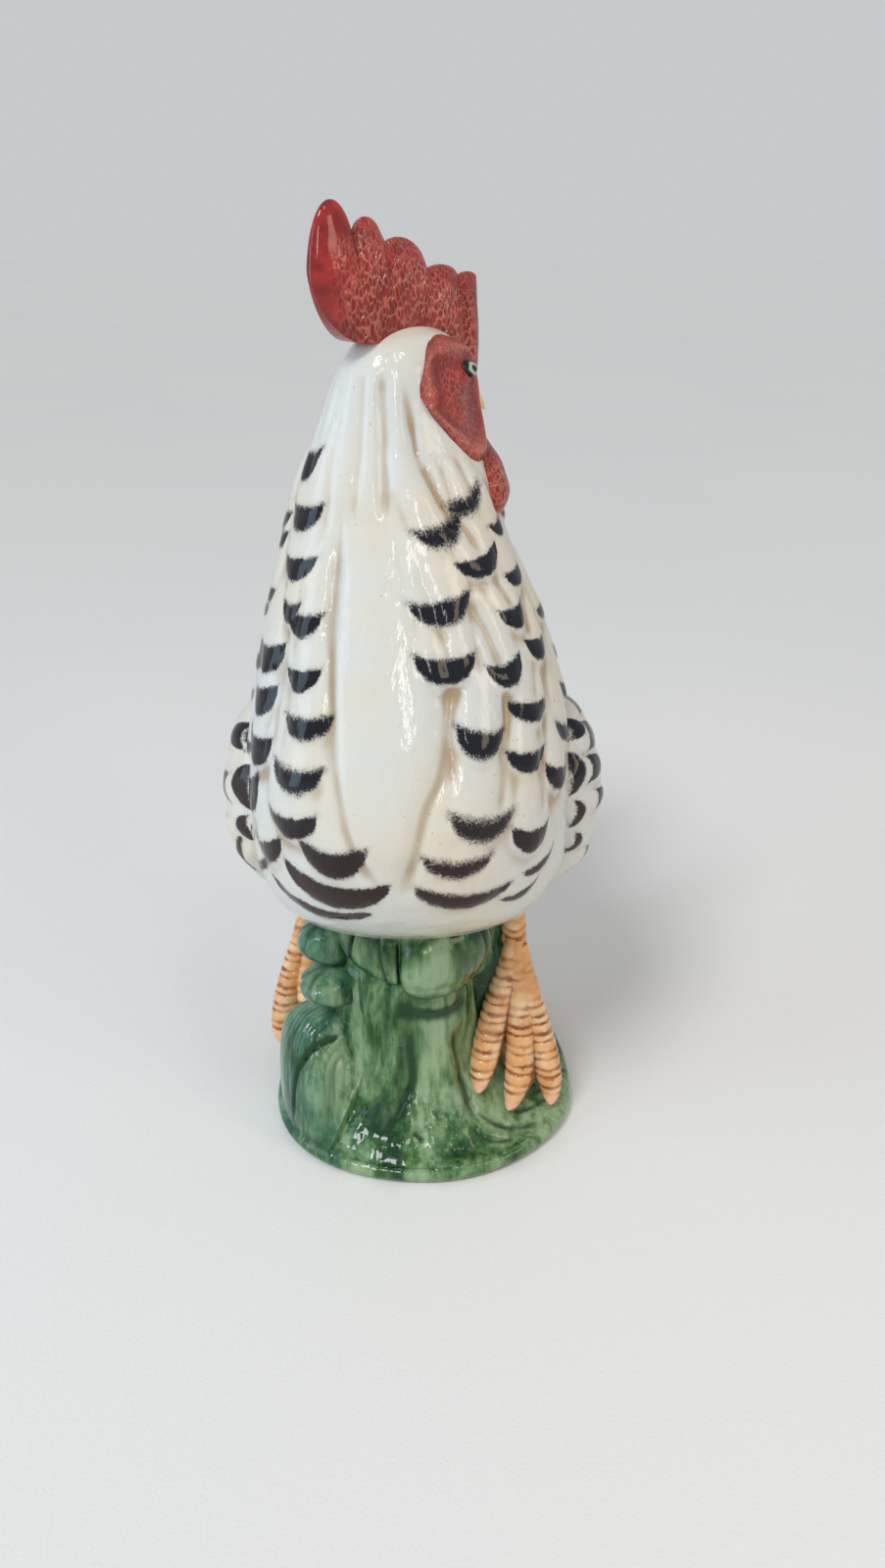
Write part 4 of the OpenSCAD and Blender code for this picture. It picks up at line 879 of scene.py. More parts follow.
# Core of the tail: rings on the rump's skin, then rings across a rising line, each a rounded oblong
def makeTailCore():
    turn = fullTurn(tail["cols"])
    flat, stand = signed(np.sin(turn), tail["powers"][0]), signed(np.cos(turn), tail["powers"][1])
    k = column(0.08, 1, tail["rootRows"])
    x = bird["x"] + k * tail["thick"] / 2 * flat
    z = tailRootZ + k * tail["height"] * tail["rootShare"] * stand
    root = np.stack([x, backOfBody(x, z) - 2.0 * (1 - k ** 6) - 0.4, z], -1)
    s = column(0, 1, tail["pathRows"])
    spot = tailSpot(tail, s[:, 0])
    facing = unit(blend(np.array(tail["rootFacing"]), tailHeading(tail, s[:, 0], 0.05), eased(2 * s)))
    half = tail["height"] * along(tail["widthShares"], s)
    y = spot[:, :1] - half * stand * facing[:, 1:]
    z = spot[:, 1:] + half * stand * facing[:, :1]
    path = np.stack([bird["x"] + tailHalf(z) * flat * (1 - s ** 6 / 2), y, z], -1)
    grid = np.concatenate([root, path])
    quills = np.abs(np.sin(turn * 7 + 0.6))
    fade = np.concatenate([np.zeros_like(k), eased(s * 7) * eased((1 - s) * 6)])
    rise = blurred(0.9 * (quills ** 0.7 - 0.7) * fade, 1)
    ink = np.full(rise.shape, -9.0)
    for at in tail["bars"]:
        bar = (0.026 - np.abs(s - at + 0.032 * quills - 0.02)) * 100
        ink[len(k):] = np.maximum(ink[len(k):], bar)
    ink = np.minimum(ink, (quills - 0.42) * 5)
    grid = grid + gridNormals(grid) * rise[..., None]
    skin("tailFan", grid, white, ["tail_core"],
         dict(mark=ink, soft=np.full(rise.shape, 0.3), poolAndShade=pooling(rise, 5, 0.5)), crease=75)


# Arched feather: across it the outer face swells to its quill and barbs run slantwise, the inner face is
# nearly flat; along it black bars curve towards the tip
def makeFeather(side, shape, name, node):
    over, under = tail["over"], tail["under"]
    s = column(0.004, 0.996, tail["featherRows"])
    spot, heading = tailSpot(shape, s[:, 0]), tailHeading(shape, s[:, 0], 0.03)
    half = tail["featherHalf"] * along(shape["widthShares"], s)
    v = np.concatenate([np.linspace(-1, 1, over), np.linspace(1, -1, under + 2)[1:-1]])[None, :]
    outer = np.concatenate([np.ones(over), np.zeros(under)])[None, :]
    swell = np.sqrt(np.clip(1 - v * v, 0, 1))
    quill = 0.9 * bell(v, 0.13) - 0.5
    barbs = 0.38 * (np.abs(np.sin(46 * s + 5.5 * np.abs(v))) - 0.5) * np.clip(4 * (1 - np.abs(v)), 0, 1)
    thick = tail["featherThick"] * (1 - s / 3) - 0.9
    off = np.where(outer > 0, (thick + quill + barbs) * swell, -swell)
    y = spot[:, :1] - half * v * heading[:, 1:]
    z = spot[:, 1:] + half * v * heading[:, :1]
    x = bird["x"] + side * (tailHalf(z) + 0.2 + off)
    bars = [(0.021 - np.abs(s - at - 0.035 * (1 - v * v))) * shape["length"] for at in shape["bars"]]
    ink = np.minimum(np.maximum(np.max(bars, 0), -9.0), (0.9 - np.abs(v)) * half)
    ink = np.where(outer > 0, ink, -9.0)
    poolAndShade = np.clip(-barbs * 1.6, 0, 0.5) * outer
    skin(name, np.stack([x, y, z], -1), white, [node], dict(mark=ink, soft=np.full(x.shape, 0.35), poolAndShade=poolAndShade),
         crease=60)


makeTailCore()
makeFeather(1, tail["sickle"], "leftSickle", "sickle_left")
makeFeather(-1, tail["sickle"], "rightSickle", "sickle_right")
makeFeather(1, tail["covert"], "leftCovert", "covert_left")
makeFeather(-1, tail["covert"], "rightCovert", "covert_right")
print("tail grown")


# Comb: five rounded points along the crown, with a hanging heel behind

comb = dict(
    rows=168, over=46, under=8, length=62.0, height=33.0, thick=10.0, rearShare=0.54, foreShare=0.67,
    dropShare=0.12, browShare=0.42, browStart=0.7, heelShare=0.27, heelHigh=0.62, taper=0.42, baseShare=0.33,
    lobes=[  # share of the length, half width, height
        (0.135, 0.135, 0.98), (0.322, 0.13, 0.85), (0.505, 0.175, 0.69), (0.755, 0.125, 0.46),
        (0.93, 0.07, 0.39),
    ],
    notchWide=0.02,
    notches=[  # share of the length, depth, fading downwards
        (0.245, 1.3, 0.8), (0.40, 1.0, 0.9), (0.655, 0.9, 0.9), (0.868, 1.5, 0.15),
    ],
)


# Spot over the head, ahead of and beside its middle
def headSpot(ahead, side):
    c, s = math.cos(skull["turn"]), math.sin(skull["turn"])
    return skull["x"] + ahead * c + side * s, skull["y"] + ahead * s - side * c


# Height of the crown over a spot, where the head narrows to the spot's distance from its middle
def crownOver(ahead, side):
    angle = np.arctan2(-side, ahead) + skull["turn"]
    wanted = np.maximum(np.hypot(ahead, side), 0.5)

    def wider(z):
        p = birdAt(angle, z)
        return np.hypot(p[..., 0] - skull["x"], p[..., 1] - skull["y"]) > wanted
    return turningHeight(np.full(wanted.shape, headZ(0.5)), np.full(wanted.shape, crownZ), wider, 22)


# Comb: its top is the highest of the lobes' half ovals and its foot lies on the crown, behind which the heel
# rises in a curve; its section is a rounded wedge, thick at the root, thinner at the tips and between lobes
def makeComb():
    k = column(0.006, 0.994, comb["rows"])
    phi = np.linspace(0, np.pi, comb["over"])[None, :]
    w = np.concatenate([np.sin(phi) ** 0.62, np.zeros((1, comb["under"]))], 1)
    flat = np.linspace(-1, 1, comb["under"] + 2)[None, 1:-1]
    lean = np.concatenate([signed(np.cos(phi), 0.72), flat], 1)
    ends = np.sqrt(np.clip(1 - np.abs(2 * k - 1) ** 6, 0, 1))
    back = np.clip(1 - k / comb["heelShare"], 0, 1)
    heel = comb["heelHigh"] * blend(back ** 2.1, 1 - np.sqrt(1 - back ** 2), 0.75)
    drop = blend(comb["dropShare"], comb["browShare"], eased((k - comb["browStart"]) * 6))
    top, lobe = np.zeros(k.shape), np.zeros(k.shape)
    for at, half, share in comb["lobes"]:
        bulge = np.sqrt(np.clip(1 - ((k - at) / half) ** 2, 0, 1))
        top = np.maximum(top, np.where(bulge > 0, blend(comb["baseShare"], share, bulge), 0))
        lobe = np.maximum(lobe, bulge)
    between = blend(0.80, 1.0, eased(lobe * 1.2 - 0.1))
    thick = comb["thick"] / 2 * ends * (1 - comb["taper"] * w ** 1.5) * between
    h = lean * thick * (1 - 0.65 * eased(1 - k / 0.3) * (1 - w) ** 2.5)
    ahead = comb["length"] * (k - comb["rearShare"]) + 0 * h
    onCrown = crownOver(np.minimum(ahead, skull["halfLength"] * comb["foreShare"]), h) - 0.9
    seat = np.maximum(onCrown, crownZ + comb["height"] * (heel - drop))
    high = np.maximum(crownZ + comb["height"] * top, seat + 0.5)
    x, y = headSpot(ahead, h)
    grid = np.stack([x, y, blend(seat, high, w)], -1)
    fold = 0.25 * np.sin(26 * k + 5 * w) * dome(w) * eased(k * 4 - 0.5) + 0.8 * lobe * dome(w)
    for at, deep, fade in comb["notches"]:
        notch = bell(k - at - 0.04 * (1 - w), comb["notchWide"])
        fold = fold - deep * notch * w ** fade * np.sqrt(dome(w))
    grid = grid + gridNormals(grid) * (fold * ends)[..., None]
    plain = np.clip(np.clip(1.35 - k / 0.19, 0, 1) + 0.7 * eased((w - 0.5) * 2.1), 0, 1)
    # Painted shade: the comb darkens towards its foot, where it sits on the crown
    base = np.clip(1 - w / 0.14, 0, 1) * 0.7 + 0 * h
    skin("redComb", grid, red, ["comb"], dict(smooth=plain, poolAndShade=base), crease=80)


makeComb()


# Cheek patches: a rolled rim round a hollow with a fold in it; wattles: drops that hang from them

cheek = dict(
    thick=3.0, angles=(118.0, 27.0), lowShares=[0.62, 0.52, 0.4, 0.3, 0.3, 0.42, 0.6],
    highShares=[0.75, 0.90, 0.94, 0.955, 0.955, 0.94, 0.91], rearArc=0.14,
)
wattle = dict(thick=5.8, lowShare=-0.04, highShare=0.44, angles=(61.0, 20.0))


# Place function of one side of the head, whose directions start at the beak
def headPlace(side):
    def place(turned, z, off=0.0):
        return birdAt(side * turned + skull["turn"], z, off)
    return place


# Lower and upper edge of a cheek: two smooth curves, drawn together in a quarter oval at the rear end
def cheekEdges(u):
    low, high = along(cheek["lowShares"], u), along(cheek["highShares"], u)
    mid, half = (low + high) / 2, (high - low) / 2
    half = half * np.sqrt(np.clip(1 - np.clip(1 - u / cheek["rearArc"], 0, 1) ** 2, 0.01, 1))
    return mid - half, mid + half


# Height of a cheek: a low dome with a rolled rim some way in, a hollow inside the rim and one slanting fold
def cheekRise(u, v):
    edge = np.minimum(dome(u), dome(v))
    rim = bell(edge - 0.36, 0.20)
    hollow = eased((edge - 0.56) * 3)
    fold = bell(v - 0.30 - 0.5 * u, 0.09) * eased(edge * 2)
    return cheek["thick"] * (0.54 * edge ** 0.35 + 0.62 * rim + 0.34 * fold - 0.20 * hollow)


def makeCheek(side, name, node):
    u, v = span(0.01, 0.99, 100, 84)
    low, high = cheekEdges(u)
    turns = np.radians(blend(*cheek["angles"], u))
    grid = padGrid(headPlace(side), turns, headZ(low), headZ(high), cheekRise(u, v), sink=0.5)
    edge = np.minimum(dome(u), dome(v))
    # Painted highlight: the rolled rim some way in is drawn paler, with more of the pale network on it
    rimHighlight = bell(edge - 0.30, 0.16)
    # Painted shade: darker in the hollow inside the rim and along the border where the cheek meets the head
    poolAndShade = 0.9 * bell(edge - 0.66, 0.11) + 0.5 * bell(edge, 0.05)
    fields = dict(smooth=overSeat(0.55 - 0.30 * rimHighlight), poolAndShade=overSeat(poolAndShade), wearAndHighlight=overSeat(rimHighlight))
    skin(name, grid, red, [node], fields, crease=75)


# Wattle: a drop whose height and swell both follow the sine of its arc, with a fold near its middle
def makeWattle(side, name, node):
    u, v = span(0.012, 0.988, 70, 64)
    mid = (wattle["lowShare"] + wattle["highShare"]) / 2
    half = (wattle["highShare"] - wattle["lowShare"]) / 2 * np.sqrt(np.sin(np.pi * u))
    rise = wattle["thick"] * np.sqrt(dome(v)) * np.sin(np.pi * u) ** 0.6 * (1.15 - v / 2)
    rise = rise - 0.5 * bell(u - 0.42, 0.05) * dome(v) + 0.18 * np.sin(17 * v + 6 * u) * dome(v)
    turns = np.radians(blend(*wattle["angles"], u))
    grid = padGrid(headPlace(side), turns, headZ(mid - half), headZ(mid + half), rise, sink=0.5)
    poolAndShade = 0.6 * bell(u - 0.42, 0.06) + 0 * v
    skin(name, grid, red, [node], dict(smooth=overSeat(0.35 + 0 * rise), poolAndShade=overSeat(poolAndShade)), crease=75)


makeCheek(1, "leftCheek", "face_left")
makeCheek(-1, "rightCheek", "face_right")
makeWattle(1, "leftWattle", "wattle_left")
makeWattle(-1, "rightWattle", "wattle_right")


# Beak: two tapering halves from the front of the head, the upper one hooked; eyes: low almond domes on the
# cheeks

beak = dict(length=12.0, half=6.5, rootShare=0.7, upper=(0.59, 0.1, 1, 0.12), lower=(0.435, 0.045, 0.7, 0))
eye = dict(size=5.25, thick=1.6, angle=50.0, zShare=0.77, ovalShare=0.95)


# Half of the beak: rings just under the head's skin, then ovals that narrow along a line dropping as a
# square; the shares are its middle, half height, reach and drop
def makeBeak(shares, name, node):
    middle, halfShare, reachShare, dropShare = shares
    rootAhead = skull["halfLength"] * beak["rootShare"]
    t = fullTurn(40)
    midZ, halfZ = headZ(middle), skull["height"] * halfShare
    reach, drop = beak["length"] * reachShare, skull["height"] * dropShare
    k = column(0.25, 1, 5)
    rootAngle = math.atan2(beak["half"], rootAhead)
    root = birdAt(rootAngle * k * np.sin(t) + skull["turn"], midZ + halfZ * k * np.cos(t), -0.8)
    s = column(0.03, 0.985, 34)
    w = (1 - s) ** 0.75
    x, y = headSpot(rootAhead + reach * s + 0 * t, -beak["half"] * w * np.sin(t))
    ring = np.stack([x, y, midZ + halfZ * w * np.cos(t) - drop * s * s], -1)
    skin(name, np.concatenate([root, ring]), yellow, [node], crease=70)


# Eye: rings on the cheek that close in on its middle, lifted as a half oval and pinched to an almond
def makeEye(side, name, node):
    eyeZ = headZ(eye["zShare"])
    centre = birdAt(math.radians(side * eye["angle"]) + skull["turn"], eyeZ)
    reach = math.hypot(centre[0] - skull["x"], centre[1] - skull["y"])
    halfAngle = math.atan2(eye["size"] / 2, reach)
    shrink = column(1.0, 0.04, 20)
    k = np.concatenate([[[0.9], [1.0]], shrink])
    lift = np.concatenate([[[-0.6], [-0.2]], eye["thick"] * np.sqrt(1 - shrink ** 2)])
    t = fullTurn(44)
    turned = math.radians(eye["angle"]) + k * halfAngle * np.cos(t)
    z = eyeZ + k * eye["ovalShare"] * eye["size"] / 2 * np.sin(t) * (1 - 0.35 * np.cos(t) ** 2)
    u = (np.degrees(turned) - cheek["angles"][0]) / (cheek["angles"][1] - cheek["angles"][0])
    low, high = cheekEdges(u)
    bed = cheekRise(u, ((z - neckZ) / skull["height"] - low) / (high - low))
    grid = headPlace(side)(turned, z, bed * 0.9 + lift)
    skin(name, grid, eyeball, [node], dict(ring=k + 0 * t))


makeBeak(beak["upper"], "upperBeak", "beak_upper")
makeBeak(beak["lower"], "lowerBeak", "beak_lower")
makeEye(1, "leftEye", "eye_left")
makeEye(-1, "rightEye", "eye_right")
print("head dressed")


# Mound and stump in one flowing skin, from the rim on the table to the belly

mound = dict(
    cols=340, halfWidth=57.0, front=47.0, back=75.0, edgeHigh=7.0, top=27.0, frontPower=2.1, backPower=2.6,
    fallPower=2.2, waves=(0.012, 0.008),
    rim=[(3.5, 0.0), (1.6, 0.7), (0.4, 2.4), (0.0, 4.2), (0.5, 5.7), (2.0, 6.8)],  # inwards and up
)
stump = dict(
    x=-5.5, y=-1.0, footRadius=28.0, topRadius=21.0, lean=9.0, fold=1.6, folds=7, top=82.0, shoulder=0.8,
    underBelly=93.0, radiusShares=[1, 0.68, 0.56, 0.56, 0.5, 0], leanShares=[0, 0, 0, 0.05, 0.35, 1],
)


# Radius of the trunk: narrowing from foot to top, with a few folds round its foot
def stumpRadius(angle, s):
    folds = stump["fold"] * (1 - eased(s * 1.4)) * np.cos(stump["folds"] * angle)
    return blend(stump["topRadius"], stump["footRadius"], along(stump["radiusShares"], s)) + folds


# Point of the trunk, which keeps its width from the shoulder up and leans back
def stumpAt(angle, z, off=0.0):
    angle, z = np.broadcast_arrays(np.asarray(angle, float), np.asarray(z, float))
    s = np.clip((z - mound["top"]) / (stump["top"] - mound["top"]), 0, stump["shoulder"])
    r = stumpRadius(angle, s) + off
    return around(stump["x"], stump["y"] + stump["lean"] * along(stump["leanShares"], s), r, angle, z)


# Radius of the mound's rim: an oval, squarer at the back, with two slow waves round it
def rimRadius(angle):
    threes, fives = mound["waves"]
    wave = 1 + threes * np.sin(3 * angle + math.radians(40)) + fives * np.cos(5 * angle)
    power = np.where(np.sin(angle) < 0, mound["frontPower"], mound["backPower"])
    return ovalRadius(angle, mound["halfWidth"], mound["front"], mound["back"], power) * wave


# Height of the ground, which falls as a power of the share left to the rim
def groundFall(k):
    return blend(mound["edgeHigh"], mound["top"], (1 - np.clip(k, 0, 1)) ** mound["fallPower"])


# Point of the ground at a share of the way from the stump's foot out to the rim
def groundAt(angle, k):
    foot = stumpRadius(angle, 0.0)
    rim = rimRadius(angle)
    x = blend(stump["x"] + foot * np.cos(angle), rim * np.cos(angle), k)
    y = blend(stump["y"] + foot * np.sin(angle), rim * np.sin(angle), k)
    return np.stack([x, y, groundFall(k) + 0 * x], -1)


# Height of the ground at a spot, by its share of the way from the trunk's foot to the rim
def groundZ(x, y):
    angle = np.arctan2(y - stump["y"], x - stump["x"])
    foot = stumpRadius(angle, 0.0)
    out = np.hypot(x - stump["x"], y - stump["y"])
    rim = rimRadius(angle) - (stump["x"] * np.cos(angle) + stump["y"] * np.sin(angle))
    return groundFall((out - foot) / (rim - foot))


rootGrooves = [  # depth, width and points in millimetres
    (2.4, 1.7, [(-29.7, -6.8, 52.8), (-29.9, -11.7, 40.3), (-32, -15.1, 26), (-32.5, -19.2, 19.9),
                (-36.1, -24.3, 11.6)]),
    (1.8, 1.5, [(-4.6, -25.7, 56), (-3.4, -25.7, 41.6), (-2.4, -27.2, 30), (-6.7, -32.3, 21),
                (-16.3, -38.1, 10)]),
    (1.6, 2.6, [(13, -17.5, 50), (13.5, -18, 36), (16, -22, 24), (20, -28, 13)]),
    (1.2, 0.8, [(-2.8, -35.6, 14.3), (1.5, -37.5, 11.3)]),
    (1.1, 1.2, [(19.8, -25.6, 18), (27.4, -27.4, 11.2), (36.5, -26.1, 8.2), (45, -21.1, 7.3)]),
    (1.1, 1.1, [(18.2, -31.6, 13.3), (26.5, -33.4, 8.8), (35.6, -30.4, 7.5)]),
    (1.0, 1.1, [(33.1, -21.2, 10.7), (42.8, -15.1, 8.6), (51.3, -7.4, 7.4)]),
    # Collar groove just under the burl: the glaze pooled in it also stands for painted shade under the burl
    (2.0, 2.6, [(-8, -25.5, 64), (-3.5, -25, 60), (4, -23.6, 57), (13.1, -17.5, 56), (17, -12, 58)]),
    (1.0, 1.6, [(-18, -23, 58), (-19, -23.5, 44), (-20.5, -26, 30), (-24, -31, 18)]),
    (1.2, 1.5, [(-30, 18, 50), (-31, 20, 36), (-35, 27, 20), (-42, 36, 11)]),
    (1.4, 1.6, [(-8, 26, 55), (-7, 27, 38), (-9, 36, 20), (-12, 50, 11)]),
    (1.2, 1.6, [(17, 17, 52), (18, 19, 36), (23, 26, 20), (32, 36, 10)]),
]


# Skin of rim, ground and trunk, with fine streaks, slow swells and the grooves; worn where it stands proud
def makeStump():
    turn = fullTurn(mound["cols"], -np.pi)
    rim = along(mound["rim"], np.linspace(0, 1, 16))
    radius = rimRadius(turn) - rim[:, :1]
    edge = around(0, 0, radius, turn, rim[:, 1:])
    ground = groundAt(turn, column(0.93, 0, 80)[1:])
    trunk = stumpAt(turn, column(mound["top"], stump["underBelly"], 90)[1:])
    grid = np.concatenate([edge, ground, trunk])
    row = column(0, 1, len(grid))
    free = eased((row - 0.06) * 16) * eased((1 - row) * 20)
    streaks = 0.16 * np.sin(23 * turn + 2.2 * np.sin(9 * row)) + 0.10 * np.sin(41 * turn + 5 * row)
    swells = 0.9 * np.sin(5 * turn + 14 * row) * np.sin(11 * row + 1)
    cut = furrowDepth(grid, rootGrooves, np.asarray, 0.6, 5)
    rise = blurred((streaks + swells - cut) * free, 2)
    wide = blurred(rise, 16)
    # Glaze pools in the hollows and grooves; in the collar groove under the burl the darkening is painted
    # shade too
    poolAndShade = np.clip((wide - rise) / 1.1 + cut * 0.38, 0, 1)
    wearAndHighlight = np.clip((rise - wide) / 0.9, 0, 1)
    grid = grid + gridNormals(grid) * rise[..., None]
    skin("stumpAndMound", grid, green, ["ground_mound", "tree_stump"], dict(poolAndShade=poolAndShade, wearAndHighlight=wearAndHighlight), crease=80)


makeStump()


# Lumps round the top of the stump: pads with a boxy oval outline that lean out as they rise, up to the belly

lumps = [  # piece, node, middle and half of its arc, height, reach down and up, thickness, lean, tilt, cuts
    ("burlLobe", "burl", (-56, 37), 26.0, (0.66, 0.55), 13.5, 0.3, -1.0, "folds"),
    ("frontLeaf", "leaf_front", (-118, 28), 22.0, (0.42, 0.62), 7.5, 0.3, 7.0, "slit"),
    ("rightLeaf", "leaf_right", (-7, 17), 22.0, (0.95, 0.55), 9.0, 0.3, 0.0, "veins"),
    ("rightRoot", None, (24, 26), 60.0, (0.95, 0.25), 15.5, 0.0, 0.0, "veins"),
    ("leftKnot", "knot_left", (-159, 15), 13.0, (0.98, 0.48), 17.0, 0.1, 0.0, "ring"),
    ("cutBranch", "branch_stub", (-154, 16), 13.0, (2.00, -0.88), 17.0, 0.1, 0.5, "ring"),
]
lumpCuts = dict(  # squareness of the outline; then depth, share of the arc, lean and width of each cut
    folds=(0.38, [(1.5, 0.22, 0.10, 0.022), (1.1, 0.33, 0.06, 0.018), (0.8, 0.12, 0.12, 0.02),
                  (1.6, 0.92, -0.03, 0.022)]),
    slit=(0.30, [(1.9, 0.60, -0.12, 0.018), (1.8, 0.16, 0.02, 0.020), (1.6, 0.06, 0.02, 0.018),
                 (0.9, 0.34, 0.08, 0.02), (0.8, 0.80, -0.10, 0.025)]),
    veins=(0.30, [(0.8, 0.25, 0.1, 0.03), (0.8, 0.5, 0.1, 0.03), (0.8, 0.72, 0.1, 0.03)]),
    ring=(0.45, [(0.7, 0.35, 0.25, 0.05), (0.6, 0.62, -0.2, 0.05)]),
)


# Lump: its outline and swell are powers of a sine across and a dome up, its cuts are bells that slant with
# the height
def makeLump(name, node, arc, height, reach, thick, lean, tilt, detail):
    u, v = span(0.008, 0.992, 120, 84)
    power, lines = lumpCuts[detail]
    low, high = stump["top"] - reach[0] * height, stump["top"] + reach[1] * height
    half = (high - low) / 2 * np.sin(np.pi * u) ** power
    mid = (low + high) / 2 + tilt * (2 * u - 1)
    turns = np.radians(arc[0] + arc[1] * np.cos(np.pi * u))
    full = (dome(v) * np.sin(np.pi * u)) ** (power * 1.25)
    cuts = [deep * bell(u - at - slant * (v - 0.5), wide) for deep, at, slant, wide in lines]
    cut = np.max(cuts, 0) * eased(dome(v) * 2)
    waves = 0.35 * np.sin(11 * u + 3 * v) * np.sin(5 * v + 2)
    rise = np.maximum(thick * full - cut + waves * full, 0)

    def place(angle, z, off):
        p = stumpAt(angle, z, off)
        p[..., 2] += lean * off
        return p
    grid = padGrid(place, turns, mid - half, mid + half, rise, sink=0.8)
    # Painted shade along the lump's lower edge and sides where it meets the trunk; the glaze pools in its
    # cuts
    foot = bell(v, 0.10) + bell(np.minimum(u, 1 - u), 0.03)
    poolAndShade = overSeat(np.clip(cut / 1.2 + 0.8 * foot, 0, 1))
    wearAndHighlight = overSeat(eased((full - 0.8) * 3) * 0.5)
    skin(name, grid, green, [node] if node else [], dict(poolAndShade=poolAndShade, wearAndHighlight=wearAndHighlight), crease=75)


for facts in lumps:
    makeLump(*facts)


# Tuft: fills the corner between ground and stump, its blades fanning out from the foot

tuft = dict(
    angles=(170.0, 233.0), high=51.0, footShare=0.93, powers=(1.9, 0.55), blades=5, lean=1.1, furrow=0.7,
    highShares=[0.1, 0.84, 1, 1, 0.9, 0.62, 0.28, 0.06], slitAt=0.66, slitDeep=1.8,
)


# Skin of the tuft: down its face from the tops of the blades to their foot as powers of a sine and a cosine,
# with furrows between the blades, then back inside the trunk and under the ground
def makeTuft():
    u, v = span(0, 1, 120, 60)
    angle = np.radians(blend(*tuft["angles"], u))

    def at(r, z):
        return around(stump["x"], stump["y"], r, angle, z)

    def outAt(k):
        p = groundAt(angle, k)
        return np.hypot(p[..., 0] - stump["x"], p[..., 1] - stump["y"])

    def stumpOut(z):
        return stumpRadius(angle, np.clip((z - mound["top"]) / (stump["top"] - mound["top"]), 0, 1))

    topZ = blend(mound["top"], tuft["high"], along(tuft["highShares"], u))
    power = blend(*tuft["powers"], eased(dome(u) * 1.5))
    blades = np.pi * (tuft["blades"] * u + tuft["lean"] * v)
    strands = np.abs(np.sin(4.0 * blades + 3 * v))
    furrows = tuft["furrow"] * np.sqrt(dome(v)) * (np.abs(np.sin(blades)) ** 0.35 - 1)
    furrows = furrows - 0.45 * (1 - strands) ** 2 * eased((v - 0.35) * 4)
    furrows = furrows - tuft["slitDeep"] * bell(u - tuft["slitAt"] - 0.05 * (v - 0.5), 0.018)
    furrows = furrows * eased(dome(v) * 3) * eased(dome(u) * 4)
    r = blend(stumpOut(topZ), outAt(tuft["footShare"]), np.cos(np.pi / 2 * v) ** power) + furrows
    face = at(r, blend(groundFall(tuft["footShare"]), topZ, np.sin(np.pi / 2 * v) ** power) + furrows * 0.6)
    down = blend(topZ, mound["top"], np.linspace(0.2, 0.8, 3)[None, :])
    wall = at(stumpOut(down) - 0.8, down)
    k = tuft["footShare"] * np.linspace(0, 0.9, 6)[None, :]
    hidden = np.zeros((len(u), 9))
    ridges = 0.7 * strands ** 3 * eased((v - 0.4) * 4) * eased(dome(v) * 4) * eased((0.6 - u) * 6)
    poolAndShade = np.concatenate([np.clip(-furrows / 1.1, 0, 1), hidden], 1)
    wearAndHighlight = np.concatenate([ridges, hidden], 1)
    grid = np.concatenate([face, wall, at(outAt(k), groundFall(k) - 0.8)], 1)
    skin("grassTuft", grid, green, ["grass_tuft"], dict(poolAndShade=poolAndShade, wearAndHighlight=wearAndHighlight), crease=75)


makeTuft()
print("stump and mound shaped")


# Legs: shanks with scutes down to feet of three toes in front and one behind

legs = dict(
    spread=40.5, back=4.0, stride=36.0, inward=2.0, topRadius=4.2, footRadius=6.4, footHigh=34.0, scute=3.6,
    rightTurn=-3.0,
    toes=[  # points of each crest: outwards, ahead and over the ground, in millimetres
        [(-2.8, -3.6, 56), (-5.4, -6.8, 43), (-8.0, -10.2, 32), (-10.2, -14.0, 22.5), (-12.0, -18.2, 14.0),
         (-13.2, -22.2, 7.2), (-13.9, -25.8, 1.6)],
        [(0.4, -4.6, 58), (1.1, -8.2, 45), (1.6, -11.8, 34), (1.4, -15.8, 25), (0.4, -20.0, 16.4),
         (-1.2, -23.8, 9.2), (-2.6, -26.8, 2.6)],
        [(3.6, -3.6, 58), (7.0, -6.6, 46), (9.9, -9.6, 36), (12.0, -12.8, 27), (13.3, -16.0, 18.6),
         (13.8, -18.8, 10.8), (13.7, -21.2, 3.4)],
        [(0.2, 3.8, 30), (0.5, 7.0, 23), (0.8, 9.6, 15.5), (1.1, 12.2, 8), (1.4, 14.6, 2.0)],
    ],
    toeWide=[2.4, 4.0, 4.9, 5.3, 5.4, 4.6, 2.0], toeBlunt=0.94,
)


# Middle of a leg, and the height at which its shank meets its foot
def legPlace(side):
    x = bird["x"] + (legs["spread"] if side > 0 else legs["inward"] - legs["spread"])
    y = legs["back"] + (0 if side > 0 else legs["stride"])
    return x, y, float(groundZ(np.array(x), np.array(y))) + legs["footHigh"]


# Scutes: a rounded plate over each step of the distance, and a cut where two plates meet
def scutes(distance):
    phase = distance / legs["scute"] + 0.12 * np.sin(distance * 0.9)
    phase = phase - np.floor(phase)
    return 0.42 * np.sin(np.pi * phase) ** 0.8 - 0.28, np.clip(1 - np.minimum(phase, 1 - phase) / 0.36, 0, 1)


# Height of the belly's skin over a spot, where its oval grows out to the spot
def bellyUnder(x, y):
    def inside(z):
        s = np.interp(z, bodyHeights, evenSteps)
        dx = x - bird["x"] * along(bird["shiftShares"], s)
        return bodyRadius(np.arctan2(y, dx), s) < np.hypot(dx, y)
    low = np.full(np.shape(x), bird["bellyZ"])
    return float(turningHeight(low, low + bird["height"] * 0.25, inside, 20))


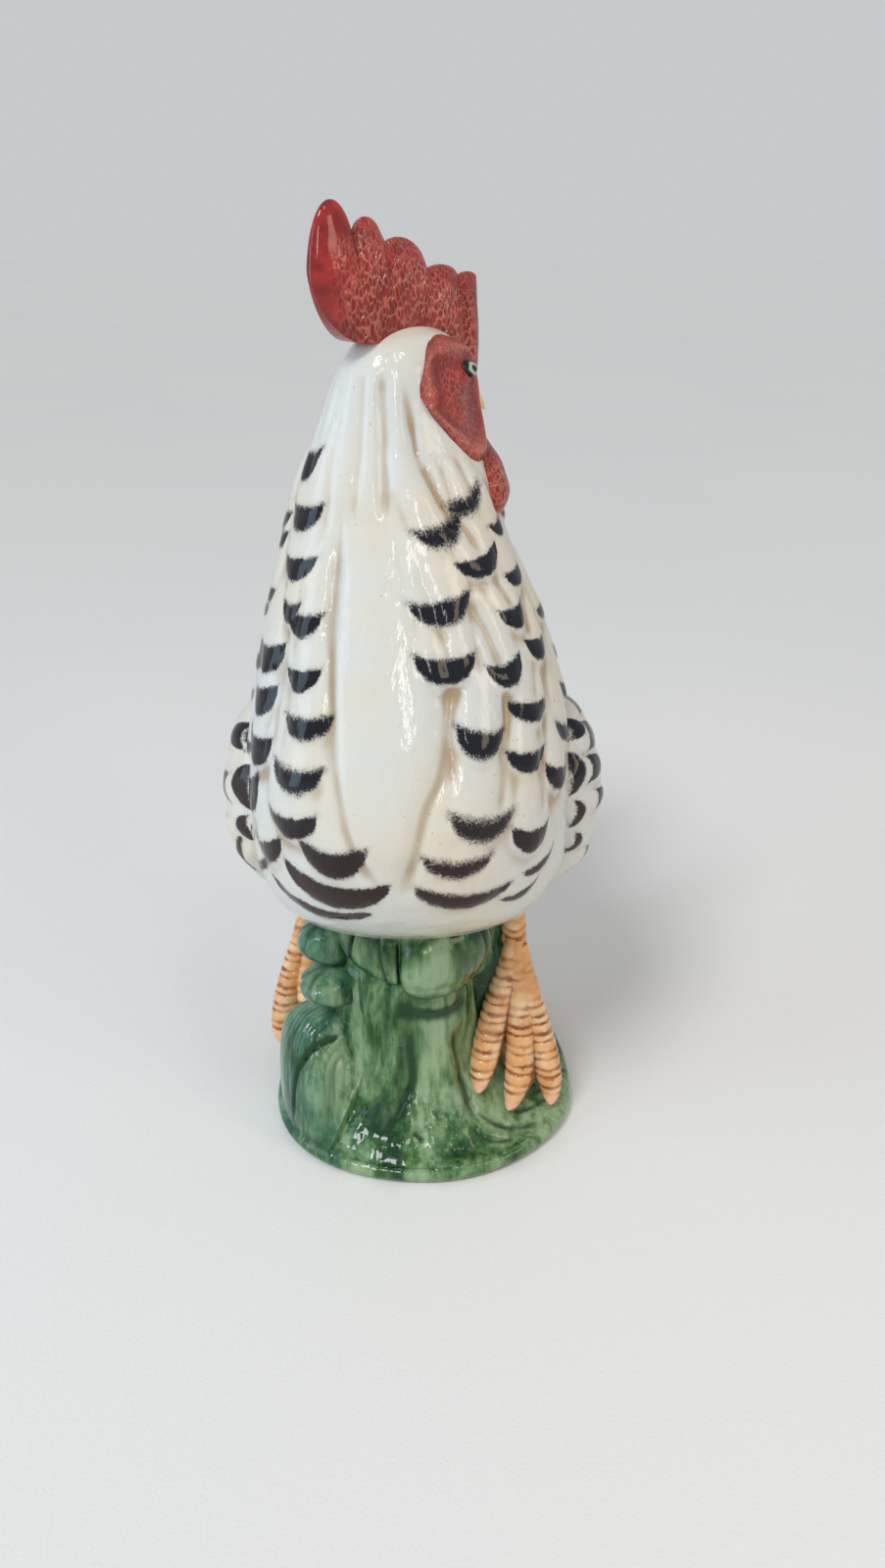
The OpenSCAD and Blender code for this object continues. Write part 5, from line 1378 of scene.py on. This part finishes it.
# Shank: rings up a leaning line from the foot into the belly, widening downwards, with scutes on its front
def makeShank(side, name, node):
    x, y, footTop = legPlace(side)
    topX, topY = x - side * legs["topRadius"] * 0.3, y + legs["topRadius"] * 0.6
    s = column(-0.10, 1.0, 90)
    t = fullTurn(44)
    high = blend(footTop, bellyUnder(topX, topY) - 1.0, s)
    relief, cut = scutes(high - footTop + 1.4 * np.sin(t) ** 2)
    front = eased(0.9 - np.sin(t))
    held = np.clip(s, 0, 1)
    r = blend(legs["topRadius"], legs["footRadius"], (1 - held) ** 1.3) - 0.1 + relief * front
    grid = around(blend(x, topX, held), blend(y, topY, held), r, t, high)
    skin(name, grid, leg, [node], dict(band=cut * front, poolAndShade=0 * r, claw=0 * r), crease=80)


# Toe: rings square to its crest line, round above and deeper below, drawn in to a blunt tip as a quarter oval
def toeGrid(x, y, side, turn, crest):
    s = column(0, 1, 130)
    out, ahead, high = along(crest, s[:, 0]).T
    gx = x + side * (out * math.cos(turn) - ahead * math.sin(turn))
    gy = y + out * math.sin(turn) + ahead * math.cos(turn)
    line = np.stack([gx, gy, groundZ(gx, gy) + high], -1)
    step = unit(np.gradient(line, axis=0))
    across = unit(np.cross(step, [0.0, 0.0, 1.0]))
    over = np.cross(across, step)
    over = over * np.where(over[:, 2:] < 0, -1, 1)
    gone = np.concatenate([[0], np.cumsum(np.linalg.norm(np.diff(line, axis=0), axis=1))])[:, None]
    t = fullTurn(40)
    relief, band = scutes(gone + 0.9 * np.cos(t) ** 2 + out[-1] * 0.3)
    tip = np.clip((s - legs["toeBlunt"]) / 0.062, 0, 1)
    half = along(legs["toeWide"], s) * np.sqrt(np.clip(1 - tip ** 2, 0, 1))
    top = np.clip(np.sin(t) + 0.5, 0, 1)
    r = half + relief * top * eased((1 - s) * 7) * eased(s * 6)
    lift = r * np.sin(t) * np.where(np.sin(t) < 0, 1.45 + 1.5 * dome(s) ** 0.8, 1.0)
    middle = line[:, None] - over[:, None] * half[..., None]
    grid = middle + across[:, None] * (r * np.cos(t))[..., None] + over[:, None] * lift[..., None]
    claw = eased((s - 0.86) * 10) + 0 * t
    # Painted shade along each toe's sides, where the toes meet, fading out towards the tip
    edge = 0.9 * bell(np.sin(t) - 0.02, 0.24) * eased((1 - s) * 6)
    return grid, band * top * eased(s * 5) * (1 - claw), claw, edge


# Foot: an ankle post with a rounded top under the shank, and four toes that come down it to the ground
def makeFoot(side, name, node):
    x, y, _ = legPlace(side)
    turn = math.radians(0 if side > 0 else legs["rightTurn"])
    t = fullTurn(72, -np.pi)
    k = np.concatenate([column(0.5, 1, 4), column(1, 0.05, 26)])
    top = np.arange(len(k))[:, None] >= 4
    r = legs["footRadius"] * 1.2 * k
    gx, gy = x + r * np.cos(t), y + r * np.sin(t)
    high = legs["footHigh"] * (1 - (k * 0.98) ** 8) ** 0.24
    ankle = np.stack([gx, gy, groundZ(gx, gy) + np.where(top, high - 0.3, -0.8)], -1)
    made = [toeGrid(x, y, side, turn, crest) for crest in legs["toes"]]
    # Painted shade: the ankle post under the shank is evenly darker
    made.insert(0, (ankle, 0 * gx, 0 * gx, 0.35 + 0 * gx))
    grids, bands, claws, paintedShades = (list(kept) for kept in zip(*made))
    skin(name, grids, leg, [node], dict(band=bands, claw=claws, poolAndShade=paintedShades), crease=80)


makeShank(1, "leftShank", "shank_left")
makeShank(-1, "rightShank", "shank_right")
makeFoot(1, "leftFoot", "foot_left")
makeFoot(-1, "rightFoot", "foot_right")
print("legs set on the mound")
